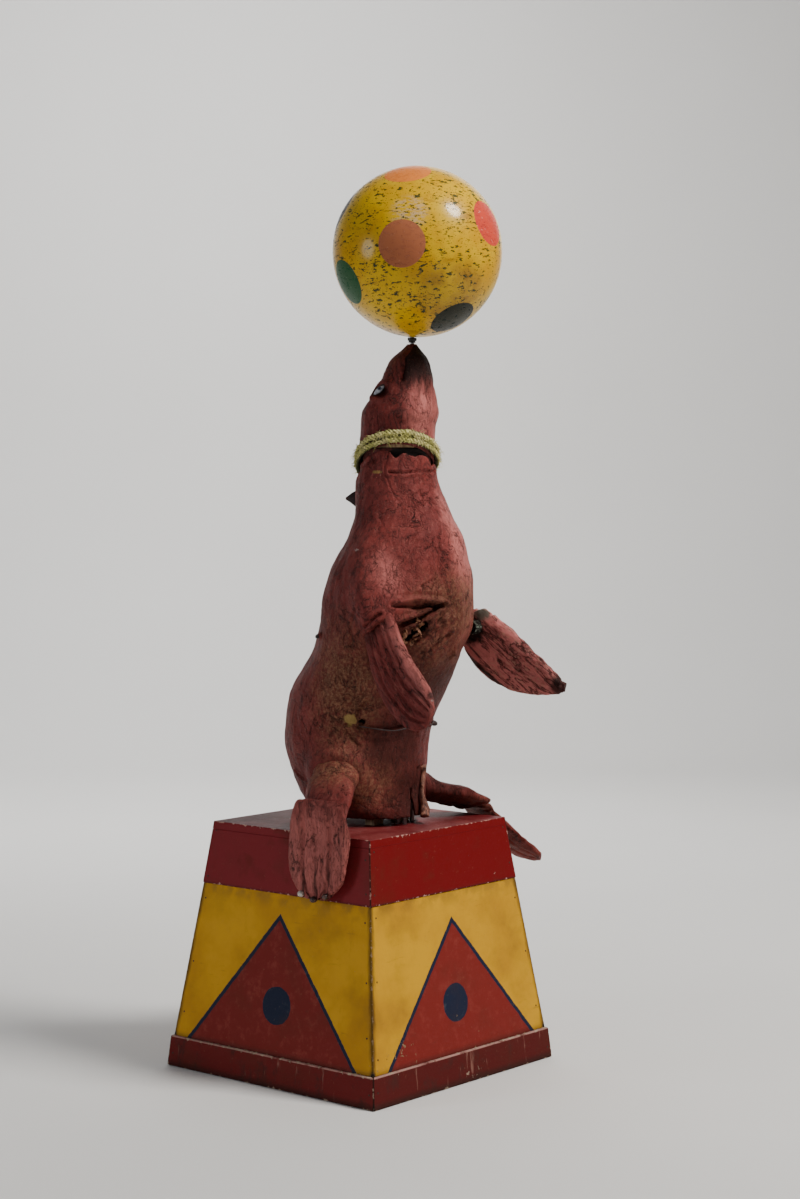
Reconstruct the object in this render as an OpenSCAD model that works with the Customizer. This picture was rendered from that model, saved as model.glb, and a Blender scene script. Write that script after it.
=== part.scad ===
// Circus seal automaton: a seal with a ball on its nose sits on a square painted pedestal.
// Millimetres, +Z up. The origin is the centre of the pedestal's underside.
// The seal looks along -Y. Its near side is -X and its far side is +X.

/* [Pedestal] */
// Width across the foot of the base boards
base_w = 508; // [460:1:600]
// Width across the upper edge of the base boards
base_top_w = 497; // [450:1:580]
// Height of the base boards
base_h = 55.4; // [40:0.1:80]
// Thickness of the base boards
base_t = 18; // [14:1:24]
// How far the side panels stand back from the base boards
panel_ledge = 4.4; // [2:0.1:6]
// Thickness of the side panels
panel_t = 12; // [9:0.5:14]
// Height of the whole pedestal
ped_h = 452; // [430:1:540]
// Height of the cap boards
cap_h = 113.6; // [90:0.1:130]
// Width across the lower edge of the cap
cap_w = 412; // [400:1:440]
// Width across the upper edge of the cap
cap_top_w = 381.4; // [370:0.1:400]
// Thickness of the cap boards
cap_t = 12; // [9:0.5:14]
// How far the cap stands out over the panels
cap_overhang = 1.5; // [0.5:0.1:4]
// Thickness of the top board
top_t = 14; // [10:0.5:20]
// Thickness of the inner deck and of the bottom board
deck_t = 12; // [9:0.5:18]
// Side of a corner post
corner_w = 26; // [18:1:34]

/* [Service door] */
// Width of the opening in the rear panel
door_w = 220; // [160:1:260]
// Height of the opening along the panel
door_h = 190; // [150:1:200]
// Height of the hinge line above the floor
door_z = 92; // [80:1:110]
// Gap round the door
door_gap = 2; // [1:0.1:3]
// Radius of a hinge knuckle
knuckle_r = 3; // [2.5:0.1:4]
// Radius of a hinge pin
hinge_pin_r = 1.5; // [1:0.1:2]

/* [Ball] */
// Diameter of the ball
ball_d = 305; // [250:1:330]
// Wall of the ball
ball_wall = 5; // [3:0.5:8]
// Forward lean of the ball's spindle in degrees
ball_lean = 4.7; // [2:0.1:6]
// Gap between the nose and the ball
ball_gap = 12; // [10:0.5:16]

/* [Seal] */
// Thickness of the body skin
skin_t = 5; // [4:0.5:7]
// Height of the nose tip above the pedestal
nose_h = 870; // [860:1:890]
// Radius of the neck where the rope lies
neck_r = 67.5; // [66:0.5:72]
// Depth of the neck's turning axis behind the nose side, as its place along Y
neck_y = -92; // [-96:1:-88]
// Height of the rope collar's centre above the pedestal
collar_h = 666; // [655:1:675]
// Tilt of the rope collar in degrees
collar_tilt = 28; // [20:1:30]
// Direction in which the rope collar dips, in degrees from +X
collar_turn = 40.5; // [30:0.5:50]
// Radius of the rope
rope_r = 5.2; // [4:0.1:5.5]
// Rise of the rope in one turn
rope_pitch = 12.8; // [12.5:0.1:14]
// Radius of an eye
eye_r = 9; // [7:0.5:10]

/* [Flippers] */
// Length of a front flipper
flipper_l = 204; // [180:1:230]
// Half width of a front flipper at its widest
flipper_half = 49; // [36:1:52]
// Distance of a flipper's root from the middle plane
flipper_x = 141; // [140:1:150]
// Place of the flipper axles along Y
flipper_y = -172; // [-174:1:-168]
// Height of the flipper axles above the pedestal
flipper_h = 356; // [350:1:360]
// Droop of the near flipper in degrees
near_droop = 45; // [35:1:50]
// Droop of the far flipper in degrees
far_droop = 40; // [25:1:40]
// Outward splay of the flippers in degrees
flipper_splay = 10; // [8:1:16]
// Swing of the flippers in degrees
flipper_swing = 35; // [20:1:36]

/* [Works] */
// Radius of the flipper axles
axle_r = 6; // [5:0.5:7]
// Radius of the rods and thin shafts
rod_r = 4; // [3:0.5:4.5]
// Radius of the crank shaft
shaft_r = 8; // [6:0.5:9]
// Height of the crank shaft
shaft_z = 250; // [240:1:256]
// Radius of the friction disc
disc_r = 66; // [60:1:68]
// Radius of the rubber friction wheel
wheel_r = 25; // [20:1:28]
// Height of the friction wheel above the crank shaft
wheel_rise = 50; // [46:1:52]
// Length of the flipper levers
lever_l = 30; // [26:1:32]
// Radius of the neck plug
plug_r = 52; // [48:0.5:54]
// Length of the arms that turn the head
head_arm_l = 26; // [22:1:28]
// Length of the lower arm of the rocking shaft
rock_arm_l = 34; // [30:1:36]
// Swing of the head to each side in degrees
head_swing = 15; // [8:1:15]
// Radius of the small link pins
link_pin_r = 3; // [2.5:0.1:3.2]

/* [Hidden] */
// Facets of a round piece, and of a skin ring
$fn = 64;
SKIN_N = 28;
// Radial gap of a running fit, the gap of a seat and the gap of an open pivot
fit_gap = 0.05;
seat_gap = 0.3;
glue_gap = 0.02;
mitre_gap = 0.1;
FAR_AWAY = 900;

cap_z = ped_h - cap_h;
panel_foot = base_top_w / 2 - panel_ledge;
panel_head = cap_w / 2 - cap_overhang;
base_slope = (base_w - base_top_w) / 2 / base_h;
panel_slope = (panel_foot - panel_head) / (cap_z - base_h);
cap_slope = (cap_w - cap_top_w) / 2 / cap_h;
panel_tilt = atan(panel_slope);
panel_th = panel_t / cos(panel_tilt);
cap_th = cap_t / cos(atan(cap_slope));
base_th = base_t / cos(atan(base_slope));
deck_top = cap_z + deck_t;

// Half width of each sloping outline at height z
function base_half(z) = base_w / 2 - base_slope * z;
function panel_half(z) = panel_foot - panel_slope * (z - base_h);
function cap_half(z) = cap_w / 2 - cap_slope * (z - cap_z);

// Body outline: height over the pedestal, place of the centre along Y, radius
TORSO = [
    [15, -34, 92], [30, -18, 107], [79, -2, 121], [134, 7, 131], [190, -2, 137], [246, -26, 143],
    [303, -59, 138], [359, -86, 140], [413, -94, 137], [468, -100, 126], [522, -111, 105],
    [558, -108, 90], [594, -98, 82], [632, -93, 75], [660, -92, 72], [700, -92, 71]
];
// Head outline, in the same terms
HEAD = [
    [600, neck_y, neck_r], [650, neck_y, neck_r], [690, neck_y, neck_r], [722, neck_y - 1, neck_r],
    [745, -98, 69], [765, -104, 61], [790, -112, 51], [818, -121, 41], [843, -126, 30],
    [858, -127, 18], [nose_h, -128, 8]
];

// Catmull-Rom curve through the points, k steps to each stretch
function blend4(a, b, c, d, t) = 0.5 * (2 * b + (c - a) * t + (2 * a - 5 * b + 4 * c - d) * t * t
    + (3 * b - a - 3 * c + d) * t * t * t);
function curve(p, k) = [
    for (i = [0:len(p) - 2]) for (j = [0:k - 1])
        blend4(p[max(i - 1, 0)], p[i], p[i + 1], p[min(i + 2, len(p) - 1)], j / k),
    p[len(p) - 1]
];
function column(p, i) = [for (q = p) [q[0], q[i]]];
TORSO_CURVE = curve(TORSO, 2);
HEAD_CURVE = curve(HEAD, 2);
TORSO_Y = column(TORSO_CURVE, 1);
TORSO_R = column(TORSO_CURVE, 2);
function torso_y(z) = lookup(z - ped_h, TORSO_Y);
function torso_r(z) = lookup(z - ped_h, TORSO_R);
FLAT = cos(180 / SKIN_N);

// Works: places that several pieces share
collar_z = ped_h + collar_h;
axle_z = ped_h + flipper_h;
disc_face_y = neck_y + wheel_r + fit_gap;
disc_t = 10;
wheel_z = shaft_z + wheel_rise;
wheel_t = 12;
thrust_r = 10;
thrust_t = 10;
lift_y = neck_y - thrust_r - rod_r - 2;
post_x = 36;
post_w = 24;
post_y = -66;
post_d = 22;
rock_x = 40;
lever_t = 6;
lever_x = 62;
side_rod_x = lever_x + lever_t + 7;
side_rod_y = flipper_y + lever_l;
half_swing = flipper_swing / 2;
lift_travel = 2 * lever_l * tan(half_swing);
lever_rise = lift_travel / 2;
lift_crank_r = lift_travel / 2;
head_crank_r = rock_arm_l * sin(head_swing);
rock_link_z = shaft_z + head_crank_r;
rock_link_x = rock_x + rock_arm_l;
former_t = 12;
neck_former_z = ped_h + 598;
neck_floor = neck_former_z + former_t;
head_arm_z = neck_former_z - 20;
arm_t = 6;
head_link_z = head_arm_z + arm_t + 1;
yoke_z = ped_h + 310;
yoke_t = 12;
tail_tube_r = 14;
core_z = ped_h + 684;
plug_wall = 5.7;
tuck_gap = 0.5;
tuck_r = neck_r - skin_t - tuck_gap;
tuck_bore = plug_r + plug_wall + seat_gap;
skirt_drop = 11;
shoulder_drop = 24;

// Ball axis: from the nose tip along the leaning spindle
NOSE = [0, -128, ped_h + nose_h];
ball_up = [0, -sin(ball_lean), cos(ball_lean)];
BALL_C = NOSE + ball_up * (ball_gap + ball_d / 2);
flex_r = 8;
LOWER_FLEX = [0, neck_y, core_z + 14];
upper_flex_drop = 74;
UPPER_FLEX = NOSE - ball_up * upper_flex_drop;
flex_line = UPPER_FLEX - LOWER_FLEX;
flex_len = norm(flex_line);
flex_lean = atan2(-flex_line[1], flex_line[2]);

red = [0.52, 0.10, 0.09];
yellow = [0.80, 0.58, 0.10];
raw_wood = [0.62, 0.47, 0.30];
skin_red = [0.48, 0.16, 0.13];
steel = [0.55, 0.56, 0.58];
brass = [0.75, 0.60, 0.28];
dark = [0.10, 0.10, 0.10];
rope_green = [0.62, 0.60, 0.28];

// A solid through a list of rings, each a list of points that turns with the direction of travel
module loft(rings) {
    n = len(rings[0]);
    m = len(rings);
    points = [for (r = rings) each r];
    walls = [
        for (i = [0:m - 2]) for (j = [0:n - 1]) each [
            [i * n + j, (i + 1) * n + j, (i + 1) * n + (j + 1) % n],
            [i * n + j, (i + 1) * n + (j + 1) % n, i * n + (j + 1) % n]
        ]
    ];
    foot = [for (j = [1:n - 2]) [0, j, j + 1]];
    top = (m - 1) * n;
    head = [for (j = [1:n - 2]) [top, top + j + 1, top + j]];
    polyhedron(points = points, faces = concat(walls, foot, head), convexity = 8);
}

// Round upright form from an outline of heights, centres and radii, drawn in by a wall
function upright_rings(outline, wall, n) = [
    for (s = outline) [
        for (j = [0:n - 1])
            [(s[2] - wall) * cos(360 * j / n), s[1] + (s[2] - wall) * sin(360 * j / n), ped_h + s[0]]
    ]
];

// Flat oval rings along a line of stations: centre, half width along side, half thickness
function unit(v) = v / norm(v);
function limb_rings(stations, side, n) = [
    for (i = [0:len(stations) - 1])
        let (
            a = stations[max(i - 1, 0)][0],
            b = stations[min(i + 1, len(stations) - 1)][0],
            t = unit(b - a),
            u = unit(side - t * (side * t)),
            v = cross(t, u)
        )
        [for (j = [0:n - 1]) stations[i][0] + u * stations[i][1] * cos(360 * j / n)
            + v * stations[i][2] * sin(360 * j / n)]
];

// Wedge of the plan that belongs to one of the four sides, mitred at the corners
module side_wedge(z0, z1) {
    translate([0, 0, z0])
        linear_extrude(z1 - z0)
            polygon([[mitre_gap, 0], [FAR_AWAY, mitre_gap - FAR_AWAY], [FAR_AWAY, FAR_AWAY - mitre_gap]]);
}

// One mitred board between two heights, outer half widths h0 and h1, thickness th along X
module mitred_board(z0, z1, h0, h1, th) {
    intersection() {
        side_wedge(z0, z1);
        translate([0, FAR_AWAY / 2, 0])
            rotate([90, 0, 0])
                linear_extrude(FAR_AWAY)
                    polygon([[h0 - th, z0], [h0, z0], [h1, z1], [h1 - th, z1]]);
    }
}

// Bar of trapezoid section that runs along Y
module sloped_bar(z0, z1, h0, h1) {
    translate([0, FAR_AWAY / 2, 0])
        rotate([90, 0, 0])
            linear_extrude(FAR_AWAY)
                polygon([[-h0, z0], [h0, z0], [h1, z1], [-h1, z1]]);
}

module sloped_block(z0, z1, h0, h1) {
    intersection() {
        sloped_bar(z0, z1, h0, h1);
        rotate([0, 0, 90])
            sloped_bar(z0, z1, h0, h1);
    }
}

// Local frame of the rear panel's outer face: X along it, Y outwards, Z up the slope
module on_rear(z) {
    translate([0, panel_half(z), z])
        rotate([panel_tilt, 0, 0])
            children();
}

module bar(from, to, r) {
    d = to - from;
    translate(from)
        rotate([0, acos(d[2] / norm(d)), atan2(d[1], d[0])])
            cylinder(h = norm(d), r = r);
}

// Disc across the inside of the body skin, clear of it all round
function inside_r(z0, z1) = (min(torso_r(z0), torso_r(z1)) - skin_t) * FLAT
    - abs(torso_y(z1) - torso_y(z0)) / 2 - seat_gap;
module body_disc(z) {
    translate([0, (torso_y(z) + torso_y(z + former_t)) / 2, z])
        cylinder(h = former_t, r = inside_r(z, z + former_t));
}

module post_holes(z, t) {
    for (s = [-1, 1])
        translate([s * post_x - post_w / 2 - glue_gap, post_y - post_d / 2 - glue_gap, z - 1])
            cube([post_w + 2 * glue_gap, post_d + 2 * glue_gap, t + 2]);
}

module hole(x, y, z, r, h = 40) {
    translate([x, y, z - 1])
        cylinder(h = h, r = r);
}

// Everything above an oblique plane at a drop below the collar's centre
module above_collar(drop) {
    translate([0, neck_y, collar_z])
        rotate([0, collar_tilt, collar_turn])
            translate([-FAR_AWAY / 2, -FAR_AWAY / 2, -drop])
                cube(FAR_AWAY);
}

module base_boards() {
    color(red)
        for (k = [0:3])
            rotate([0, 0, 90 * k])
                mitred_board(0, base_h, base_w / 2, base_top_w / 2, base_th);
}

module bottom_board() {
    half = base_half(deck_t) - base_th - seat_gap;
    color(raw_wood)
        translate([-half, -half, 0])
            cube([2 * half, 2 * half, deck_t]);
}

module panel() {
    mitred_board(base_h, cap_z, panel_foot, panel_head, panel_th);
}

module side_panels() {
    color(yellow)
        for (k = [-1, 0, 2])
            rotate([0, 0, 90 * k])
                panel();
}

gland_x = 165;
gland_z = 100;
gland_r = 9;
module rear_panel() {
    color(yellow)
        difference() {
            rotate([0, 0, 90])
                panel();
            on_rear(door_z)
                translate([-door_w / 2, -2 * panel_t, 0])
                    cube([door_w, 3 * panel_t, door_h]);
            on_rear(gland_z)
                translate([gland_x, panel_t, 0])
                    rotate([90, 0, 0])
                        cylinder(h = 3 * panel_t, r = gland_r + fit_gap);
        }
}

module corner_posts() {
    low = panel_half(base_h) - panel_th;
    high = panel_half(cap_z) - panel_th;
    color(raw_wood)
        difference() {
            sloped_block(base_h, cap_z, low, high);
            sloped_bar(base_h - 1, cap_z + 1, low - corner_w, high - corner_w);
            rotate([0, 0, 90])
                sloped_bar(base_h - 1, cap_z + 1, low - corner_w, high - corner_w);
        }
}

module cap_boards() {
    z1 = ped_h - top_t;
    color(red)
        for (k = [0:3])
            rotate([0, 0, 90 * k])
                mitred_board(cap_z, z1, cap_w / 2, cap_half(z1), cap_th);
}

module works_holes(z) {
    hole(0, neck_y, z, rod_r + fit_gap);
    hole(rock_x, neck_y, z, rod_r + fit_gap);
    hole(0, lift_y, z, rod_r + fit_gap);
}

// Clearance holes where the rods only pass through
passing_r = rod_r + 2;
module rod_holes(z) {
    hole(0, neck_y, z, passing_r);
    hole(rock_x, neck_y, z, passing_r);
    hole(0, lift_y, z, passing_r);
}

module deck_board() {
    half = cap_half(deck_top) - cap_th - seat_gap;
    color(raw_wood)
        difference() {
            translate([-half, -half, cap_z])
                cube([2 * half, 2 * half, deck_t]);
            works_holes(cap_z);
        }
}

module top_board() {
    z0 = ped_h - top_t;
    color(red)
        difference() {
            sloped_block(z0, ped_h, cap_half(z0), cap_half(ped_h));
            post_holes(z0, top_t);
            rod_holes(z0);
        }
}

module service_door() {
    color(yellow)
        on_rear(door_z)
            translate([-door_w / 2 + door_gap, -panel_t + seat_gap, door_gap])
                cube([door_w - 2 * door_gap, panel_t - seat_gap, door_h - 2 * door_gap]);
}

stop_w = 80;
stop_h = 30;
module door_stop() {
    color(raw_wood)
        on_rear(door_z)
            translate([-stop_w / 2, -2 * panel_t - glue_gap, door_h - stop_h / 2])
                cube([stop_w, panel_t, stop_h]);
}

hinge_x = 70;
leaf_t = 1.5;
leaf_half = 15;
leaf_drop = 16;
knuckle_half = 5;
module hinge_places() {
    for (s = [-1, 1])
        on_rear(door_z)
            translate([s * hinge_x, knuckle_r, door_gap / 2])
                children();
}

module knuckle(x0, x1) {
    translate([x0, 0, 0])
        rotate([0, 90, 0])
            difference() {
                cylinder(h = x1 - x0, r = knuckle_r);
                translate([0, 0, -1])
                    cylinder(h = x1 - x0 + 2, r = hinge_pin_r + fit_gap);
            }
}

module panel_hinge_leaves() {
    color(steel)
        hinge_places()
            for (s = [-1, 1]) {
                knuckle(s > 0 ? knuckle_half : -leaf_half, s > 0 ? leaf_half : -knuckle_half);
                difference() {
                    translate([s > 0 ? knuckle_half : -leaf_half, -knuckle_r, -leaf_drop])
                        cube([leaf_half - knuckle_half, leaf_t, leaf_drop]);
                    rotate([0, 90, 0])
                        cylinder(h = 4 * leaf_half, r = hinge_pin_r + fit_gap, center = true);
                }
            }
}

module door_hinge_leaves() {
    width = knuckle_half - seat_gap;
    color(steel)
        hinge_places() {
            knuckle(-width, width);
            translate([-width, -knuckle_r, 0])
                cube([2 * width, leaf_t, leaf_drop]);
        }
}

module hinge_pins() {
    color(steel)
        hinge_places()
            translate([-leaf_half, 0, 0])
                rotate([0, 90, 0])
                    cylinder(h = 2 * leaf_half, r = hinge_pin_r);
}

knob_r = 12;
knob_l = 22;
module door_knob() {
    color(dark)
        on_rear(door_z)
            translate([0, 0, door_h - 30])
                rotate([-90, 0, 0])
                    rotate_extrude()
                        polygon([[0, 0], [knob_r * 0.6, 0], [knob_r * 0.45, knob_l * 0.4],
                            [knob_r, knob_l * 0.7], [knob_r * 0.8, knob_l], [0, knob_l]]);
}

module cable_gland() {
    color(dark)
        on_rear(gland_z)
            translate([gland_x, 0, 0])
                rotate([-90, 0, 0])
                    difference() {
                        union() {
                            translate([0, 0, -panel_t - 4])
                                cylinder(h = panel_t + 4, r = gland_r);
                            cylinder(h = 4, r = gland_r + 5);
                            translate([0, 0, 4])
                                cylinder(h = 10, r = gland_r);
                        }
                        translate([0, 0, -panel_t - 5])
                            cylinder(h = panel_t + 21, r = gland_r / 2);
                    }
}

gear_half = 45;
gear_y0 = 6;
gear_l = 60;
gear_half_h = 50;
motor_r = 42;
motor_l = 90;
stand_half = 60;
stand_top = shaft_z - gear_half_h;
shaft_inside = 24;
module motor_stand() {
    color(raw_wood)
        difference() {
            translate([-stand_half, 0, deck_t])
                cube([2 * stand_half, gear_l + motor_l, stand_top - deck_t]);
            translate([-stand_half + deck_t, -1, deck_t - 1])
                cube([2 * stand_half - 2 * deck_t, gear_l + motor_l + 2, stand_top - 2 * deck_t + 1]);
        }
}

module gearbox_case() {
    color(steel)
        difference() {
            translate([-gear_half, gear_y0, stand_top])
                cube([2 * gear_half, gear_l, 2 * gear_half_h]);
            translate([0, gear_y0 + shaft_inside + 1, shaft_z])
                rotate([90, 0, 0])
                    cylinder(h = shaft_inside + 2, r = shaft_r + fit_gap);
            along_x(gear_half - shaft_inside - 1, head_crank_y, shaft_z, shaft_inside + 2,
                axle_r + fit_gap);
        }
}

module motor_case() {
    color(dark)
        translate([0, gear_y0 + gear_l + motor_l, shaft_z])
            rotate([90, 0, 0])
                cylinder(h = motor_l, r = motor_r);
    color(dark)
        translate([-motor_r / 2, gear_y0 + gear_l + 6, stand_top])
            cube([motor_r, motor_l - 24, gear_half_h - motor_r + 10]);
}

board_half = 31;
board_t = 12;
board_rise = 22;
module bearing_board() {
    color(raw_wood)
        difference() {
            translate([-board_half, neck_y - board_t / 2, deck_t])
                cube([2 * board_half, board_t, shaft_z + board_rise - deck_t]);
            translate([0, neck_y + board_t, shaft_z])
                rotate([90, 0, 0])
                    cylinder(h = 2 * board_t, r = shaft_r + fit_gap);
        }
}

crank_t = 8;
crank_disc_r = 18;
link_ring_half = 3;
pivot_open = 1.2;
lift_crank_y = neck_y - wheel_r - 1;
lift_link_y = lift_crank_y - crank_t - 4;
head_crank_y = gear_y0 + gear_l / 2;
head_crank_x = gear_half + 3;
module along_y(x, y, z, length, r) {
    translate([x, y, z])
        rotate([-90, 0, 0])
            cylinder(h = length, r = r);
}

module along_x(x, y, z, length, r) {
    translate([x, y, z])
        rotate([0, 90, 0])
            cylinder(h = length, r = r);
}

// Main shaft, with the crank that lifts the flippers at its front end
module crank_shaft() {
    crank_front = lift_crank_y - crank_t;
    pin_end = lift_link_y + pivot_open;
    color(steel)
        union() {
            along_y(0, crank_front, shaft_z, gear_y0 + shaft_inside - crank_front, shaft_r);
            along_y(0, crank_front, shaft_z, crank_t, crank_disc_r);
            along_y(0, pin_end, shaft_z + lift_crank_r, crank_front - pin_end + 1, link_pin_r);
        }
}

// Side shaft of the gearbox, with the crank that turns the head
module head_crank() {
    pin_end = rock_link_x - link_ring_half - rock_arm_l * (1 - cos(head_swing)) - pivot_open;
    color(steel)
        union() {
            along_x(gear_half - shaft_inside, head_crank_y, shaft_z, shaft_inside + 3 + crank_t, axle_r);
            along_x(head_crank_x, head_crank_y, shaft_z, crank_t, crank_disc_r);
            along_x(head_crank_x + crank_t - 1, head_crank_y, shaft_z + head_crank_r,
                pin_end - head_crank_x - crank_t + 1, link_pin_r);
        }
}

module friction_disc() {
    color(steel)
        difference() {
            along_y(0, disc_face_y, shaft_z, disc_t, disc_r);
            along_y(0, disc_face_y - 1, shaft_z, disc_t + 2, shaft_r);
        }
}

wheel_hub = 6;
module drive_rod() {
    foot = wheel_z - wheel_t / 2 - wheel_hub;
    color(steel)
        union() {
            translate([0, neck_y, foot])
                cylinder(h = LOWER_FLEX[2] - flex_r + 1 - foot, r = rod_r);
            translate([0, neck_y, deck_top + seat_gap])
                cylinder(h = thrust_t, r = thrust_r);
        }
}

module friction_wheel() {
    color(dark)
        translate([0, neck_y, wheel_z - wheel_t / 2])
            difference() {
                cylinder(h = wheel_t, r = wheel_r);
                translate([0, 0, -1])
                    cylinder(h = wheel_t + 2, r = rod_r);
            }
}

module lower_flex_joint() {
    color(dark)
        difference() {
            translate(LOWER_FLEX)
                sphere(r = flex_r);
            translate([0, neck_y, LOWER_FLEX[2] - 2 * flex_r])
                cylinder(h = flex_r + 1, r = rod_r);
        }
}

// Frame that stands on the lower flexible joint and points at the upper one
module on_flex_line() {
    translate(LOWER_FLEX)
        rotate([flex_lean, 0, 0])
            children();
}

module mid_shaft() {
    color(steel)
        on_flex_line()
            translate([0, 0, flex_r + seat_gap])
                cylinder(h = flex_len - 2 * flex_r - seat_gap + 1, r = rod_r);
}

module upper_flex_joint() {
    color(dark)
        on_flex_line()
            difference() {
                translate([0, 0, flex_len])
                    sphere(r = flex_r);
                translate([0, 0, flex_len - 2 * flex_r])
                    cylinder(h = flex_r + 1, r = rod_r);
            }
}

// Frame at the nose tip with Z along the ball's axis
module on_spindle() {
    translate(NOSE)
        rotate([ball_lean, 0, 0])
            children();
}

hub_h = 26;
ball_hub_r = 34;
function ball_bottom_in(r) = ball_gap + ball_d / 2 - sqrt(pow(ball_d / 2 - ball_wall, 2) - r * r);
module nose_spindle() {
    start = -upper_flex_drop + flex_r + seat_gap;
    color(steel)
        on_spindle()
            translate([0, 0, start])
                cylinder(h = ball_gap + ball_wall + hub_h - start, r = rod_r);
}

collar_piece_r = 8;
module spindle_collar() {
    color(dark)
        on_spindle()
            translate([0, 0, 2])
                difference() {
                    cylinder(h = ball_gap - 2 - seat_gap, r1 = collar_piece_r * 0.7, r2 = collar_piece_r);
                    translate([0, 0, -1])
                        cylinder(h = ball_gap + 2, r = rod_r);
                }
}

module ball_hub() {
    color(raw_wood)
        on_spindle()
            difference() {
                intersection() {
                    translate([0, 0, ball_gap])
                        cylinder(h = ball_wall + hub_h, r = ball_hub_r);
                    translate([0, 0, ball_gap + ball_d / 2])
                        sphere(r = ball_d / 2 - ball_wall - glue_gap, $fn = 96);
                }
                cylinder(h = 2 * ball_d, r = rod_r);
            }
}

module ball() {
    color(yellow)
        on_spindle()
            difference() {
                translate([0, 0, ball_gap + ball_d / 2])
                    sphere(r = ball_d / 2, $fn = 96);
                translate([0, 0, ball_gap + ball_d / 2])
                    sphere(r = ball_d / 2 - ball_wall, $fn = 96);
                cylinder(h = ball_d / 2, r = rod_r);
            }
}

module body_posts() {
    color(raw_wood)
        for (s = [-1, 1])
            translate([s * post_x - post_w / 2, post_y - post_d / 2, deck_top])
                cube([post_w, post_d, neck_former_z - deck_top]);
}

hip_z = ped_h + 110;
waist_z = ped_h + 200;
chest_z = ped_h + 420;
collar_bone_z = ped_h + 510;
module body_formers() {
    color(raw_wood)
        for (z = [hip_z, waist_z, chest_z, collar_bone_z])
            difference() {
                body_disc(z);
                post_holes(z, former_t);
                rod_holes(z);
            }
}

module neck_former() {
    color(raw_wood)
        difference() {
            body_disc(neck_former_z);
            hole(0, neck_y, neck_former_z, tail_tube_r + fit_gap);
            hole(rock_x, neck_y, neck_former_z, rod_r + fit_gap);
        }
}

bearing_h = 24;
module neck_bearing() {
    color(raw_wood)
        translate([0, neck_y, neck_floor])
            difference() {
                cylinder(h = bearing_h, r = plug_r + plug_wall, $fn = 96);
                translate([0, 0, -1])
                    cylinder(h = bearing_h + 2, r = plug_r + fit_gap, $fn = 96);
            }
}

plate_t = 12;
plate_half_h = 26;
module shoulder_plates() {
    inner = post_x + post_w / 2;
    color(raw_wood)
        for (s = [-1, 1])
            difference() {
                translate([s > 0 ? inner : -inner - plate_t, flipper_y - 16, axle_z - plate_half_h])
                    cube([plate_t, post_y + post_d / 2 - flipper_y + 16, 2 * plate_half_h]);
                translate([-FAR_AWAY / 2, flipper_y, axle_z])
                    rotate([0, 90, 0])
                        cylinder(h = FAR_AWAY, r = axle_r + fit_gap);
            }
}

// Outer form of the body up to the oblique shoulder that the head's skirt runs over
module torso_form() {
    difference() {
        loft(upright_rings(TORSO_CURVE, 0, SKIN_N));
        above_collar(shoulder_drop);
    }
    difference() {
        translate([0, neck_y, neck_floor - former_t])
            cylinder(h = core_z - 1 - neck_floor + former_t, r = tuck_r, $fn = SKIN_N);
        above_collar(2);
    }
}

module torso_skin() {
    cavity = [for (s = TORSO_CURVE) if (s[0] <= neck_floor - ped_h) s];
    low = [cavity[0] - [2, 0, 0]];
    lid = [[neck_floor - ped_h, torso_y(neck_floor), torso_r(neck_floor)]];
    color(skin_red)
        difference() {
            torso_form();
            loft(upright_rings(concat(low, cavity, lid), skin_t, SKIN_N));
            translate([0, neck_y, neck_floor - 1])
                cylinder(h = 200, r = tuck_bore, $fn = SKIN_N * 2);
            translate([-FAR_AWAY / 2, flipper_y, axle_z])
                rotate([0, 90, 0])
                    cylinder(h = FAR_AWAY, r = axle_r + 4, $fn = 24);
        }
}

// Hind limbs: centre line, half width and half thickness of each section
NEAR_ANKLE = [
    [[-70, -26, ped_h + 104], 44, 38], [[-105, -42, ped_h + 99], 44, 36],
    [[-140, -59, ped_h + 85], 45, 32], [[-172, -77, ped_h + 65], 48, 25],
    [[-191, -87, ped_h + 42], 50, 17], [[-198, -90, ped_h + 26], 50, 10]
];
NEAR_TAIL = [
    [[-212, -92, ped_h + 62], 40, 7], [[-213, -92, ped_h + 52], 58, 11],
    [[-213, -92, ped_h + 30], 66, 12], [[-211, -92, ped_h], 70, 12],
    [[-216, -92, ped_h - 40], 68, 11], [[-219, -92, ped_h - 75], 58, 9],
    [[-220, -92, ped_h - 98], 38, 7], [[-221, -92, ped_h - 112], 16, 5]
];
FAR_ANKLE = [
    [[76, -62, ped_h + 66], 32, 28], [[110, -84, ped_h + 46], 32, 19],
    [[140, -102, ped_h + 38], 36, 18], [[160, -112, ped_h + 33], 38, 17],
    [[178, -117, ped_h + 25], 40, 13], [[192, -119, ped_h + 19], 40, 9]
];
FAR_TAIL = [
    [[190, -119, ped_h + 20], 38, 8], [[204, -118, ped_h + 8], 40, 8],
    [[222, -124, ped_h - 12], 44, 8], [[249, -141, ped_h - 44], 47, 8],
    [[272, -161, ped_h - 68], 44, 7], [[285, -182, ped_h - 80], 30, 6],
    [[291, -198, ped_h - 86], 14, 4]
];
NEAR_SIDE = [0, -1, 0];
FAR_SIDE = [0.5, 0.76, -0.41];
LIMB_N = 16;

module near_ankle() {
    color(skin_red)
        difference() {
            loft(limb_rings(curve(NEAR_ANKLE, 2), NEAR_SIDE, LIMB_N));
            torso_form();
            near_tail_form();
        }
}

module near_tail_form() {
    loft(limb_rings(curve(NEAR_TAIL, 2), NEAR_SIDE, LIMB_N));
}

module near_tail_flipper() {
    color(skin_red)
        near_tail_form();
}

module far_ankle() {
    color(skin_red)
        difference() {
            loft(limb_rings(curve(FAR_ANKLE, 2), FAR_SIDE, LIMB_N));
            torso_form();
        }
}

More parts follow.
